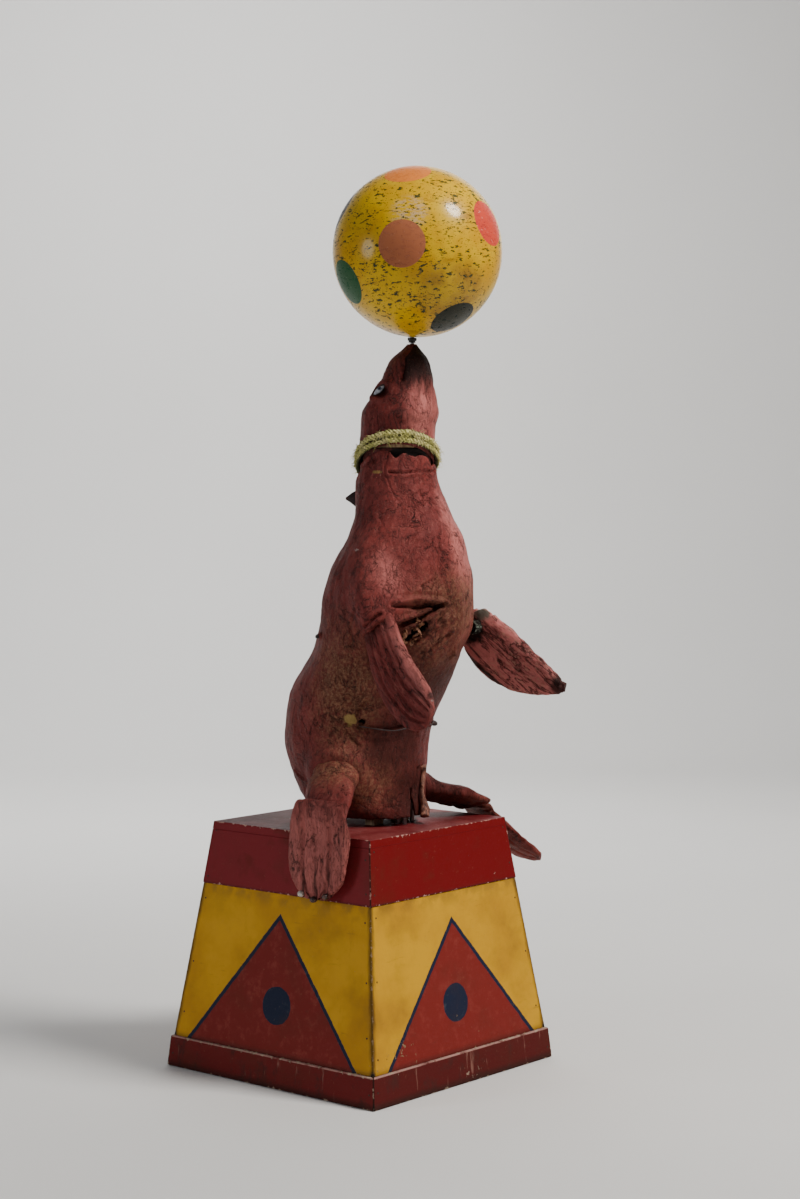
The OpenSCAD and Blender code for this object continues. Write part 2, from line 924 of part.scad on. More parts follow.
module far_tail_flipper() {
    color(skin_red)
        difference() {
            loft(limb_rings(curve(FAR_TAIL, 2), FAR_SIDE, LIMB_N));
            loft(limb_rings(curve(FAR_ANKLE, 2), FAR_SIDE, LIMB_N));
        }
}

EYE = [44, -92, ped_h + 784];
HEAD_N = 24;
module head_skin() {
    cavity = [for (s = HEAD_CURVE) if (s[0] < nose_h - 20) s];
    color(skin_red)
        difference() {
            intersection() {
                loft(upright_rings(HEAD_CURVE, 0, HEAD_N));
                above_collar(skirt_drop);
            }
            loft(upright_rings(concat([cavity[0] - [2, 0, 0]], cavity), skin_t - 1, HEAD_N));
            for (s = [-1, 1])
                translate([s * EYE[0], EYE[1], EYE[2]])
                    sphere(r = eye_r + seat_gap, $fn = 24);
            on_spindle()
                translate([0, 0, -60])
                    cylinder(h = 80, r = bush_r + fit_gap);
        }
}

bush_r = 6.5;
bush_l = 30;
core_foot_r = (neck_r - skin_t + 1) * cos(180 / HEAD_N) - seat_gap;
module head_core() {
    color(raw_wood)
        difference() {
            hull() {
                translate([0, neck_y, core_z])
                    cylinder(h = 16, r = core_foot_r, $fn = 32);
                translate([0, -97, ped_h + 735])
                    cylinder(h = 4, r = 58, $fn = 32);
                translate([0, -123, ped_h + 832])
                    cylinder(h = 4, r = 25, $fn = 32);
            }
            translate([0, neck_y, core_z - 1])
                cylinder(h = 28, r = flex_r + 5);
            on_flex_line()
                translate([0, 0, 2])
                    cylinder(h = flex_len + flex_r, r = flex_r + 4);
            on_spindle()
                translate([0, 0, -upper_flex_drop])
                    cylinder(h = upper_flex_drop, r = bush_r + fit_gap);
            for (s = [-1, 1])
                translate([s * EYE[0], EYE[1], EYE[2]])
                    sphere(r = eye_r + seat_gap, $fn = 24);
        }
}

module neck_plug() {
    color(raw_wood)
        translate([0, neck_y, neck_floor + seat_gap])
            difference() {
                cylinder(h = core_z - neck_floor - seat_gap, r = plug_r, $fn = 96);
                translate([0, 0, -1])
                    cylinder(h = 200, r = 2 * rod_r);
            }
}

module neck_tail() {
    color(steel)
        difference() {
            union() {
                translate([0, neck_y, head_arm_z])
                    cylinder(h = neck_floor + seat_gap - head_arm_z, r = tail_tube_r);
                translate([-6, neck_y - head_arm_l, head_arm_z])
                    cube([12, head_arm_l, arm_t]);
                translate([0, neck_y - head_arm_l, head_arm_z])
                    cylinder(h = arm_t, r = 6);
                translate([0, neck_y - head_arm_l, head_arm_z])
                    cylinder(h = arm_t + 7, r = link_pin_r);
            }
            hole(0, neck_y, head_arm_z - 1, 2 * rod_r, 80);
        }
}

module nose_bush() {
    color(brass)
        on_spindle()
            translate([0, 0, -bush_l - 1])
                difference() {
                    cylinder(h = bush_l, r = bush_r);
                    translate([0, 0, -1])
                        cylinder(h = bush_l + 2, r = rod_r + fit_gap);
                }
}

// Rope: one tube that lies twice round the neck on the tilted plane
rope_rings = 24;
rope_sides = 6;
rope_turns = 2;
rope_line_r = neck_r + seat_gap + rope_r;
rope_span = 360 * rope_turns;
function rope_point(a) =
    let (
        x = rope_line_r * cos(a),
        y = rope_line_r * sin(a),
        n = [sin(collar_tilt) * cos(collar_turn), sin(collar_tilt) * sin(collar_turn), cos(collar_tilt)]
    )
    [x, neck_y + y, collar_z - (n[0] * x + n[1] * y) / n[2] + rope_pitch * (a / 360 - rope_turns / 2)];
rope_start = 200;
ROPE_PATH = [
    for (i = [0:rope_rings * rope_turns])
        rope_point(rope_start + i * rope_span / (rope_rings * rope_turns))
            - [0, 0, rope_pitch * rope_start / 360]
];
rope_least_gap = min([
    for (i = [0:rope_rings * rope_turns]) for (j = [i + rope_rings / 2:1:rope_rings * rope_turns])
        norm(ROPE_PATH[i] - ROPE_PATH[j])
]) - 2 * rope_r;
echo(rope_least_gap = rope_least_gap);
module rope_collar() {
    color(rope_green)
        loft(limb_rings([for (p = ROPE_PATH) [p, rope_r, rope_r]], [0, 0, 1], rope_sides));
}

module eyes() {
    color("white")
        for (s = [-1, 1])
            translate([s * EYE[0], EYE[1], EYE[2]])
                sphere(r = eye_r, $fn = 32);
}

link_w = 12;
link_t = 4;
module head_link() {
    color(steel)
        translate([0, neck_y - head_arm_l, head_link_z])
            difference() {
                union() {
                    cylinder(h = link_t, r = link_w / 2);
                    translate([rock_x, 0, 0])
                        cylinder(h = link_t, r = link_w / 2);
                    translate([0, -link_w / 4, 0])
                        cube([rock_x, link_w / 2, link_t]);
                }
                translate([0, 0, -1])
                    cylinder(h = link_t + 2, r = link_pin_r + fit_gap);
                translate([rock_x, 0, -1])
                    cylinder(h = link_t + 2, r = link_pin_r + 2 * seat_gap);
            }
}

// Arm on the rocking shaft with an upright pin at its end
module rock_arm(z, length, turn) {
    translate([rock_x, neck_y, z])
        rotate([0, 0, turn]) {
            translate([0, -5, 0])
                cube([length, 10, arm_t]);
            translate([length, 0, 0])
                cylinder(h = arm_t, r = 6);
            translate([length, 0, 0])
                cylinder(h = arm_t + 7, r = link_pin_r);
        }
}

rock_arm_z = rock_link_z - link_t / 2 - 1 - arm_t;
module rock_shaft() {
    color(steel)
        union() {
            translate([rock_x, neck_y, rock_arm_z])
                cylinder(h = neck_floor - rock_arm_z, r = rod_r);
            translate([rock_x, neck_y, deck_top + seat_gap])
                cylinder(h = thrust_t, r = thrust_r);
            rock_arm(head_arm_z, head_arm_l, -90);
            rock_arm(rock_arm_z, rock_arm_l, 0);
        }
}

link_eye_r = 8;
module rock_link() {
    color(steel)
        difference() {
            union() {
                translate([rock_link_x, neck_y, rock_link_z - link_t / 2])
                    cylinder(h = link_t, r = link_eye_r);
                translate([rock_link_x - link_ring_half, neck_y, rock_link_z - link_t / 2])
                    cube([2 * link_ring_half, head_crank_y - neck_y, link_t]);
                along_x(rock_link_x - link_ring_half, head_crank_y, rock_link_z, 2 * link_ring_half,
                    link_eye_r);
            }
            hole(rock_link_x, neck_y, rock_link_z - link_t, link_pin_r + fit_gap);
            along_x(rock_link_x - 10, head_crank_y, rock_link_z, 20, link_pin_r + 1);
        }
}

// Lifting rod, cranked forwards at its foot so that it passes the friction wheel
foot_w = 8;
lift_foot = wheel_z + wheel_t / 2 + lift_travel + 3;
lift_pin_z = lift_foot - 12;
module lift_rod() {
    leg_y = neck_y - wheel_r - 2 - foot_w;
    pin_y = lift_link_y - 2 * link_ring_half - 1;
    color(steel)
        union() {
            translate([0, lift_y, lift_foot])
                cylinder(h = yoke_z + yoke_t / 2 - lift_foot, r = rod_r);
            translate([-foot_w / 2, leg_y, lift_foot])
                cube([foot_w, lift_y + foot_w / 2 - leg_y, foot_w]);
            translate([-foot_w / 2, leg_y, lift_pin_z - foot_w / 2])
                cube([foot_w, foot_w, lift_foot - lift_pin_z + foot_w]);
            along_y(0, pin_y, lift_pin_z, leg_y - pin_y + 1, link_pin_r);
        }
}

module lift_yoke() {
    stem = 15;
    bar_half = 8;
    color(raw_wood)
        difference() {
            union() {
                translate([-stem, side_rod_y, yoke_z])
                    cube([2 * stem, lift_y + bar_half - side_rod_y, yoke_t]);
                translate([-side_rod_x - bar_half, side_rod_y - bar_half, yoke_z])
                    cube([2 * side_rod_x + 2 * bar_half, 2 * bar_half, yoke_t]);
            }
            hole(0, lift_y, yoke_z - 1, rod_r, yoke_t / 2 + 2);
            for (s = [-1, 1])
                hole(s * side_rod_x, side_rod_y, yoke_z + yoke_t / 2 + 1, rod_r);
        }
}

module side_rods() {
    color(steel)
        for (s = [-1, 1])
            union() {
                translate([s * side_rod_x, side_rod_y, yoke_z + yoke_t / 2])
                    cylinder(h = axle_z + lever_rise + 8 - yoke_z - yoke_t / 2, r = rod_r);
                translate([s > 0 ? lever_x - 1 : -side_rod_x, side_rod_y, axle_z + lever_rise])
                    rotate([0, 90, 0])
                        cylinder(h = side_rod_x - lever_x + 1, r = link_pin_r);
            }
}

module lift_link() {
    low_z = shaft_z + lift_crank_r;
    y0 = lift_link_y - 2 * link_ring_half;
    color(steel)
        difference() {
            union() {
                along_y(0, y0, lift_pin_z, 2 * link_ring_half, link_eye_r);
                translate([-4, y0, low_z])
                    cube([8, 2 * link_ring_half, lift_pin_z - low_z]);
                along_y(0, y0, low_z, 2 * link_ring_half, link_eye_r);
            }
            along_y(0, y0 - 1, lift_pin_z, 20, link_pin_r + fit_gap);
            along_y(0, y0 - 1, low_z, 20, link_pin_r + 1);
        }
}

// Front flippers in their own frame, root at the origin, tip along -Y and width along Z:
// distance from the axle, middle of the width, half width and half thickness
NEAR_PADDLE = [
    [-28, 10, 12, 4], [-20, 9, 24, 8], [0, 4, 34, 10], [40, -8, flipper_half - 6, 12],
    [90, -16, flipper_half, 11], [140, -12, flipper_half - 1, 9], [170, -4, flipper_half - 6, 8],
    [190, 4, 31, 5], [flipper_l, 11, 11, 3]
];
FAR_PADDLE = [
    [-28, 2, 16, 4], [-20, 0, 32, 8], [0, -8, 43, 10], [40, -13, flipper_half + 4, 12],
    [80, -11, flipper_half + 3, 11], [120, -4, flipper_half - 5, 9], [160, 9, 30, 8],
    [185, 19, 18, 6], [flipper_l, 29, 6, 3]
];
module paddle(side, droop, outline) {
    stations = [for (s = outline) [[0, -s[0], s[1]], s[2], s[3]]];
    translate([side * flipper_x, flipper_y, axle_z])
        rotate([droop, 0, 0])
            rotate([0, 0, side * flipper_splay])
                loft(limb_rings(curve(stations, 2), [0, 0, 1], LIMB_N));
}

axle_in = post_x + post_w / 2 - 6;
module flipper(side, droop, outline) {
    color(skin_red)
        difference() {
            paddle(side, droop, outline);
            translate([side > 0 ? 0 : -flipper_x - 2, flipper_y, axle_z])
                rotate([0, 90, 0])
                    cylinder(h = flipper_x + 2, r = axle_r + glue_gap, $fn = 32);
        }
}

module lever(side) {
    slot_half = 3.5;
    pin_gap = 0.25;
    reach = lever_l / cos(half_swing);
    translate([side > 0 ? lever_x : -lever_x - lever_t, flipper_y, axle_z])
        rotate([half_swing, 0, 0])
            difference() {
                union() {
                    rotate([0, 90, 0])
                        cylinder(h = lever_t, r = 12);
                    translate([0, 0, -7])
                        cube([lever_t, reach + 10, 14]);
                }
                for (d = [-slot_half, slot_half])
                    translate([-1, reach - 1 + d, 0])
                        rotate([0, 90, 0])
                            cylinder(h = lever_t + 2, r = link_pin_r + pin_gap);
                translate([-1, reach - 1 - slot_half, -link_pin_r - pin_gap])
                    cube([lever_t + 2, 2 * slot_half, 2 * link_pin_r + 2 * pin_gap]);
            }
}

module axle(side) {
    color(steel)
        union() {
            translate([side > 0 ? axle_in : -flipper_x - 2, flipper_y, axle_z])
                rotate([0, 90, 0])
                    cylinder(h = flipper_x + 2 - axle_in, r = axle_r, $fn = 32);
            lever(side);
        }
}

module near_flipper() {
    flipper(-1, near_droop, NEAR_PADDLE);
}

module near_axle() {
    axle(-1);
}

module far_flipper() {
    flipper(1, far_droop, FAR_PADDLE);
}

module far_axle() {
    axle(1);
}

// Cloth sleeve round the far axle where it leaves the body
cuff_r = 10;
cuff_l = 9;
cuff_end = flipper_x - 14;
module far_cuff() {
    color([0.35, 0.38, 0.32])
        difference() {
            along_x(cuff_end - cuff_l, flipper_y, axle_z, cuff_l, cuff_r);
            along_x(0, flipper_y, axle_z, FAR_AWAY, axle_r + glue_gap);
        }
}

base_boards();
bottom_board();
side_panels();
rear_panel();
corner_posts();
cap_boards();
deck_board();
top_board();
service_door();
door_stop();
panel_hinge_leaves();
door_hinge_leaves();
hinge_pins();
door_knob();
cable_gland();
motor_stand();
gearbox_case();
motor_case();
bearing_board();
crank_shaft();
head_crank();
friction_disc();
drive_rod();
friction_wheel();
lower_flex_joint();
mid_shaft();
upper_flex_joint();
nose_spindle();
spindle_collar();
ball_hub();
ball();
body_posts();
body_formers();
neck_former();
neck_bearing();
shoulder_plates();
torso_skin();
near_ankle();
near_tail_flipper();
far_ankle();
far_tail_flipper();
head_skin();
head_core();
neck_plug();
neck_tail();
nose_bush();
rope_collar();
eyes();
head_link();
rock_shaft();
rock_link();
lift_rod();
lift_yoke();
side_rods();
lift_link();
near_flipper();
near_axle();
far_flipper();
far_axle();
far_cuff();
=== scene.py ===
import math

import bmesh
import bpy
import numpy as np
from mathutils import Matrix, Vector


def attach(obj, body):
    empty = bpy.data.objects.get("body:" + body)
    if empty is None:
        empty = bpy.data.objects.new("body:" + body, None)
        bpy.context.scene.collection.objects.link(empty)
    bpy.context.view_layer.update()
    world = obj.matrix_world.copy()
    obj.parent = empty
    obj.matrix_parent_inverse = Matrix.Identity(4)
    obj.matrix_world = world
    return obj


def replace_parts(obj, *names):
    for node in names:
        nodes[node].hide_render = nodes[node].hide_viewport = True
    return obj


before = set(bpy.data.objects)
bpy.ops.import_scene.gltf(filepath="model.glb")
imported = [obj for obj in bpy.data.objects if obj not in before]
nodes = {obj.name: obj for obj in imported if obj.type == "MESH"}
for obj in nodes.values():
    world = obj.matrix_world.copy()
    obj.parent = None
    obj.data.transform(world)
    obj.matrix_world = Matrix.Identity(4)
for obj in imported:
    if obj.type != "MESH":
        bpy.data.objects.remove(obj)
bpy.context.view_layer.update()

# Camera: a long lens a little over four metres from the figure, at the height
# of the seal's chest, turned so that the pedestal shows its -X and -Y sides.
camera = bpy.data.objects.new("camera", bpy.data.cameras.new("camera"))
bpy.context.scene.collection.objects.link(camera)
camera.data.lens = 69.43
camera.data.sensor_width = 36.0
camera.data.clip_end = 60.0
camera_right = Vector((0.6494, -0.7605, -0.0024))
nearly_up = Vector((0.0377, 0.029, 0.9989))
camera_back = camera_right.cross(nearly_up) - nearly_up * 0.001
camera_up = camera_back.cross(camera_right)
turned_to = Matrix((camera_right, camera_up, camera_back)).transposed().to_4x4()
camera.matrix_world = Matrix.Translation((-3.1892, -2.8224, 1.0566)) @ turned_to
bpy.context.scene.camera = camera

# Studio: a pale floor that sweeps up behind the figure, one large soft lamp high
# on the right, a weak one on the left and the even light of a white room.
SWEEP_AT, SWEEP_R, FLOOR_HALF = 4.5, 1.5, 9.0
sweep = [(-FLOOR_HALF, 0.0), (SWEEP_AT, 0.0)]
for a in np.linspace(0.1, math.pi / 2, 12):
    sweep.append((SWEEP_AT + SWEEP_R * math.sin(a), SWEEP_R - SWEEP_R * math.cos(a)))
sweep.append((SWEEP_AT + SWEEP_R, FLOOR_HALF))
away = Vector((0.7595, 0.6487, 0)).normalized()
across = Vector((away.y, -away.x, 0))
paper_points, paper_faces = [], []
for i, (far, up) in enumerate(sweep):
    for side in (-FLOOR_HALF, FLOOR_HALF):
        paper_points.append(away * far + across * side + Vector((0, 0, up - 0.0006)))
    if i:
        paper_faces.append((2 * i - 2, 2 * i - 1, 2 * i + 1, 2 * i))
paper = bpy.data.meshes.new("studio_floor")
paper.from_pydata(paper_points, [], paper_faces)
for p in paper.polygons:
    p.use_smooth = True
studio_floor = bpy.data.objects.new("studio_floor", paper)
bpy.context.scene.collection.objects.link(studio_floor)


class Wire:
    """A value on its way through a finish. Sums and products of wires add their own nodes."""

    def __init__(self, finish, socket):
        self.finish, self.socket = finish, socket

    def math(self, operation, *values):
        return self.finish.node("Math", {"operation": operation}, dict(enumerate(values)))

    def __add__(self, other):
        return self.math("ADD", self, other)

    def __sub__(self, other):
        return self.math("SUBTRACT", self, other)

    def __rsub__(self, other):
        return self.math("SUBTRACT", other, self)

    def __mul__(self, other):
        return self.math("MULTIPLY", self, other)

    def __truediv__(self, other):
        return self.math("DIVIDE", self, other)

    def __pow__(self, other):
        return self.math("POWER", self, other)

    def __abs__(self):
        return self.math("ABSOLUTE", self)

    __radd__ = __add__
    __rmul__ = __mul__

    def least(self, other):
        return self.math("MINIMUM", self, other)

    def most(self, other):
        return self.math("MAXIMUM", self, other)

    def over(self, low, high):
        """0 below low, 1 above high, and a soft step between them."""
        settings = {"interpolation_type": "SMOOTHSTEP"}
        return self.finish.node("MapRange", settings, {0: self, 1: low, 2: high})

    def under(self, low, high):
        return 1 - self.over(low, high)


class Finish:
    """A procedural finish. Its places are those of the object as it stands, in metres."""

    def __init__(self, name):
        self.material = bpy.data.materials.new(name)
        self.material.use_nodes = True
        self.tree = self.material.node_tree
        self.tree.nodes.clear()
        self.surface = self.tree.nodes.new("ShaderNodeBsdfPrincipled")
        output = self.tree.nodes.new("ShaderNodeOutputMaterial")
        self.tree.links.new(self.surface.outputs[0], output.inputs[0])
        self.place = self.node("TexCoord", {}, {}, "Object")
        parts = self.node("SeparateXYZ", {}, {0: self.place})
        self.x, self.y, self.z = (Wire(self, s) for s in parts.socket.node.outputs)

    def node(self, kind, settings, feeds, out=0):
        """Adds a node: its settings first, then the values or wires of its sockets."""
        made = self.tree.nodes.new("ShaderNode" + kind)
        for key, value in settings.items():
            setattr(made, key, value)
        for key, value in feeds.items():
            if isinstance(value, Wire):
                self.tree.links.new(value.socket, made.inputs[key])
            else:
                made.inputs[key].default_value = value
        return Wire(self, made.outputs[out])

    def vector(self, operation, *values, out=0):
        return self.node("VectorMath", {"operation": operation}, dict(enumerate(values)), out)

    def stretched(self, stretch, shift):
        return self.vector("MULTIPLY_ADD", self.place, stretch, shift)

    def noise(self, size, stretch=(1, 1, 1), detail=4.0, rough=0.55, shift=(0, 0, 0), bend=0.0):
        feeds = {"Vector": self.stretched(stretch, shift), "Scale": 1 / size, "Detail": detail}
        feeds |= {"Roughness": rough, "Distortion": bend}
        return self.node("TexNoise", {}, feeds)

    def cells(self, size, shift, stretch=(1, 1, 1)):
        feeds = {"Vector": self.stretched(stretch, shift), "Scale": 1 / size}
        return self.node("TexVoronoi", {}, feeds)

    def mix(self, share, first, second):
        def full(c):
            return c if isinstance(c, Wire) else (*c, 1)

        feeds = {0: share, 6: full(first), 7: full(second)}
        return self.node("Mix", {"data_type": "RGBA"}, feeds, 2)

    def coats(self, colour, *layers):
        """Lays further colours over the first one, each through its mask."""
        for mask, over in layers:
            colour = self.mix(mask, colour, over)
        return colour

    def bump(self, height, depth):
        return self.node("Bump", {}, {"Height": height, "Distance": depth, "Strength": 1.0})

    def done(self, **sockets):
        for key, value in sockets.items():
            socket = self.surface.inputs[key.replace("_", " ")]
            if isinstance(value, Wire):
                self.tree.links.new(value.socket, socket)
            else:
                socket.default_value = value
        return self.material


plaster = Finish("pale_floor")
plaster_mottle = plaster.noise(0.9, detail=5.0)
studio_floor.data.materials.append(
    plaster.done(
        Base_Color=plaster.mix(plaster_mottle, (0.7, 0.69, 0.67), (0.75, 0.74, 0.72)),
        Roughness=0.85,
        Normal=plaster.bump(plaster.noise(0.004), 0.0002),
    )
)

lamps = [
    ("key_lamp", (0.8, -3.0, 4.5), (0, -0.1, 1.0), 1.3, 320.0, (1.0, 0.97, 0.93)),
    ("fill_lamp", (-3.9, 2.0, 1.6), (0, 0, 0.9), 1.5, 40.0, (0.93, 0.95, 1.0)),
    ("back_lamp", (2.8, 1.4, 2.6), (0, 0, 1.0), 2.6, 18.0, (1.0, 1.0, 1.0)),
    ("floor_lamp", (1.6, 2.6, 3.4), (3.2, 4.0, 0.9), 2.4, 150.0, (1.0, 1.0, 1.0)),
]
for name, at, aim, size, power, tint in lamps:
    lamp = bpy.data.objects.new(name, bpy.data.lights.new(name, "AREA"))
    bpy.context.scene.collection.objects.link(lamp)
    lamp.data.shape = "DISK"
    lamp.data.size, lamp.data.energy, lamp.data.color = size, power, tint
    lamp.location = at
    lamp.rotation_euler = (Vector(aim) - Vector(at)).to_track_quat("-Z", "Y").to_euler()
room = bpy.data.worlds.new("white_room")
room.use_nodes = True
room.node_tree.nodes["Background"].inputs[0].default_value = (0.93, 0.95, 1.0, 1)
room.node_tree.nodes["Background"].inputs[1].default_value = 0.135
bpy.context.scene.world = room

# Pedestal boards: twelve mitred boards and a top board, planed wood under several
# coats of old gloss paint, with the edges rubbed round and chipped by handling.
EDGE_ROUND, SHARP = 0.0016, math.radians(30)
PED_TOP, CAP_FOOT, BASE_TOP, CAP_HALF = 0.452, 0.3384, 0.0554, 0.1907


def as_piece(name, mesh, body, finish, smooth=True):
    """Puts a mesh into the scene in its finish, riding on a body."""
    for face in mesh.polygons:
        face.use_smooth = smooth
    mesh.materials.append(finish)
    piece = bpy.data.objects.new(name, mesh)
    bpy.context.scene.collection.objects.link(piece)
    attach(piece, body)
    return piece


def eased(name, node, body, finish, radius=EDGE_ROUND):
    """The node's own shape as a piece of its own, with the sharp edges rounded off."""
    shape = bmesh.new()
    shape.from_mesh(nodes[node].data)
    bmesh.ops.remove_doubles(shape, verts=shape.verts, dist=2e-6)
    flat = math.radians(0.5)
    bmesh.ops.dissolve_limit(shape, angle_limit=flat, verts=shape.verts, edges=shape.edges)
    sharp = [e for e in shape.edges if len(e.link_faces) == 2 and e.calc_face_angle(0) > SHARP]
    shaped = {"segments": 2, "profile": 0.6, "affect": "EDGES", "clamp_overlap": True}
    bmesh.ops.bevel(shape, geom=sharp, offset=radius, **shaped)
    mesh = bpy.data.meshes.new(name)
    shape.to_mesh(mesh)
    shape.free()
    piece = as_piece(name, mesh, body, finish)
    piece.modifiers.new("flat_faces", "WEIGHTED_NORMAL").weight = 60
    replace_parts(piece, node)


def board_places(f):
    """Front or side pair of boards, how far along, how near a corner, and how far out."""
    wide, deep = abs(f.x), abs(f.y)
    on_front = deep.math("GREATER_THAN", deep, wide)
    along = f.x * on_front + f.y * (1 - on_front)
    return on_front, along, abs(wide - deep), wide.most(deep)


def old_gloss(f, colour, edge, chip_colour, grime, gloss, chip_width=0.004):
    """Worn gloss paint: mottled, scuffed, dirty in the joints and chipped along the edges."""
    cloud = f.noise(0.11, detail=6.0, rough=0.62)
    fine = f.noise(0.006, detail=5.0, rough=0.6)
    scuff = f.noise(0.05, stretch=(1, 1, 6), detail=8.0, rough=0.7, shift=(3, 1, 7))
    flake = f.noise(0.009, detail=4.0, rough=0.65, shift=(9, 4, 2))
    specks = f.cells(0.03, shift=(2, 5, 1)).under(0.022, 0.05) * f.noise(0.07).over(0.52, 0.62)
    chips = (flake - edge / chip_width * 0.16).over(0.5, 0.56)
    chips = chips.most((flake * f.noise(0.16, shift=(1, 8, 3))).over(0.425, 0.45) * 0.7)
    colour = f.coats(
        colour,
        (cloud.over(0.46, 0.8) * 0.34, (0.05, 0.024, 0.01)),
        (fine.over(0.6, 0.82) * 0.16, (0.42, 0.26, 0.17)),
        (scuff.over(0.6, 0.74) * 0.35, (0.07, 0.03, 0.02)),
        (grime, (0.02, 0.014, 0.01)),
        (specks * 0.75, (0.03, 0.02, 0.015)),
        (chips, chip_colour),
    )
    strokes = f.noise(0.0024, stretch=(0.08, 0.08, 1), detail=3.0)
    height = strokes * 0.22 + fine * 0.35 + cloud * 0.6 - chips * 1.1 - specks
    rough = fine * 0.26 + scuff * 0.25 + chips * 0.25 + grime * 0.2 + gloss - 0.06
    normal = f.bump(height, 0.0009)
    return f.done(Base_Color=colour, Roughness=rough, Normal=normal, Specular_IOR_Level=0.12)


red = Finish("cap_red_gloss")
on_front, _, corner, out = board_places(red)
is_top = red.z.over(PED_TOP - 0.0012, PED_TOP - 0.0006)
side_edge = corner.least(abs(PED_TOP - red.z)).least(abs(red.z - CAP_FOOT))
to_edge = side_edge * (1 - is_top) + abs(CAP_HALF - out) * is_top
worn = red.noise(0.07, detail=7.0, rough=0.6, shift=(4, 4, 4)).over(0.36, 0.62)
# Painted sheen: the side pair of cap boards is painted a paler, more purple red than the front
# pair, for the bluish light those faces reflect.
sides_with_painted_sheen = red.mix(on_front, (0.19, 0.014, 0.018), (0.15, 0.002, 0.003))
faded = red.noise(0.06, detail=3.0, shift=(6, 2, 9)).over(0.56, 0.7)
sides_with_painted_sheen = red.mix(faded * 0.55, sides_with_painted_sheen, (0.11, 0.01, 0.006))
top_red = red.mix(worn, (0.12, 0.01, 0.012), (0.185, 0.034, 0.033))
lint = red.noise(0.0035, detail=6.0, rough=0.75, shift=(8, 8, 1)).over(0.6, 0.7) * is_top
top_red = red.mix(lint * 0.4, top_red, (0.4, 0.26, 0.24))
cap_red = red.mix(is_top, sides_with_painted_sheen, top_red)
joint_dirt = corner.under(0.0006, 0.003) * 0.8 + (red.z - CAP_FOOT).under(0.001, 0.006) * 0.4
joint_dirt = joint_dirt * (1 - is_top)
cap_red_gloss = old_gloss(red, cap_red, to_edge, (0.5, 0.27, 0.22), joint_dirt, 0.33)
eased("cap_boards_painted", "cap_boards", "pedestal", cap_red_gloss)
eased("top_board_painted", "top_board", "pedestal", cap_red_gloss, 0.0024)

dull = Finish("base_red_gloss")
on_front, _, corner, _ = board_places(dull)
to_edge = corner.least(abs(dull.z - BASE_TOP)).least(abs(dull.z) * 1.4)
kicked = dull.noise(0.035, stretch=(1, 1, 0.6), detail=8.0, rough=0.68).over(0.5, 0.66)
smear = dull.noise(0.012, stretch=(1, 1, 0.15), detail=5.0, shift=(3, 3, 3)).over(0.62, 0.74)
upper_line = abs(dull.z - BASE_TOP + 0.0008).under(0.0006, 0.0022)
# Painted light: the side pair of base boards is painted a lighter red than the front pair.
base_red = dull.coats(
    dull.mix(on_front, (0.13, 0.01, 0.009), (0.085, 0.008, 0.007)),
    (kicked * 0.75, (0.055, 0.014, 0.011)),
    (smear * 0.5, (0.34, 0.17, 0.13)),
    (upper_line * dull.noise(0.03).over(0.3, 0.5) * 0.8, (0.48, 0.26, 0.22)),
)
foot_dirt = dull.z.under(0.002, 0.016) * 0.65 + corner.under(0.0006, 0.0035) * 0.8
base_red_gloss = old_gloss(dull, base_red, to_edge, (0.42, 0.3, 0.22), foot_dirt, 0.42, 0.005)
eased("base_boards_painted", "base_boards", "pedestal", base_red_gloss, 0.0022)

# Side panels: yellow gloss, and on each a red triangle with a navy outline and dot,
# all put on by brush over the yellow, so their edges waver a little.
TRIANGLE_FOOT, TRIANGLE_LEFT, TRIANGLE_RIGHT, TRIANGLE_TOP = 0.058, -0.203, 0.207, 0.3017
DOT_AT, DOT_Z, DOT_R, LINE = -0.005, 0.143, 0.0341, 0.0062
sign = Finish("panel_yellow_gloss")
on_front, along, corner, _ = board_places(sign)
waver = (sign.noise(0.03, detail=3.0, shift=(5, 5, 5)) - 0.5) * 0.004
bristle = (sign.noise(0.0035, stretch=(1, 1, 0.4), detail=3.0) - 0.5) * 0.0022
u = along + waver
rise = sign.z - TRIANGLE_FOOT
apex_u = on_front * 0.0031 + 0.0055
apex_rise = TRIANGLE_TOP - TRIANGLE_FOOT - on_front * 0.0097
left_in = ((u - TRIANGLE_LEFT) * apex_rise - rise * (apex_u - TRIANGLE_LEFT)) * 3.11
right_in = ((TRIANGLE_RIGHT - u) * apex_rise - rise * (TRIANGLE_RIGHT - apex_u)) * 3.17
inside = left_in.least(right_in) + bristle
triangle = inside.over(-0.0004, 0.0004)
outline = inside.over(-0.0016, -0.0006) * inside.under(LINE - 0.0006, LINE + 0.0006)
dot_u, dot_z = u - DOT_AT, (sign.z - DOT_Z + waver) * 1.01
from_dot = (dot_u * dot_u + dot_z * dot_z) ** 0.5 + bristle
dot = from_dot.under(DOT_R - 0.0005, DOT_R + 0.0005)
ochre = sign.noise(0.16, detail=7.0, rough=0.6, shift=(1, 2, 3))
stain = sign.noise(0.055, stretch=(1, 1, 0.35), detail=8.0, rough=0.72, shift=(7, 1, 4))
# Painted shade: the yellow is darkened in patches just under the cap's overhang.
dark_tone = (CAP_FOOT - sign.z).under(0.0, 0.035) * sign.noise(0.03, detail=5.0).over(0.35, 0.6)
yellow = sign.coats(
    sign.mix(ochre.over(0.36, 0.66), (0.6, 0.31, 0.01), (0.46, 0.22, 0.012)),
    (stain.over(0.58, 0.8) * 0.5, (0.19, 0.09, 0.014)),
    (dark_tone * 0.45, (0.1, 0.055, 0.02)),
)
rubbed = sign.noise(0.02, detail=7.0, rough=0.7, shift=(2, 9, 6))
field = sign.mix(rubbed.over(0.48, 0.72) * 0.6, (0.17, 0.014, 0.011), (0.26, 0.045, 0.034))
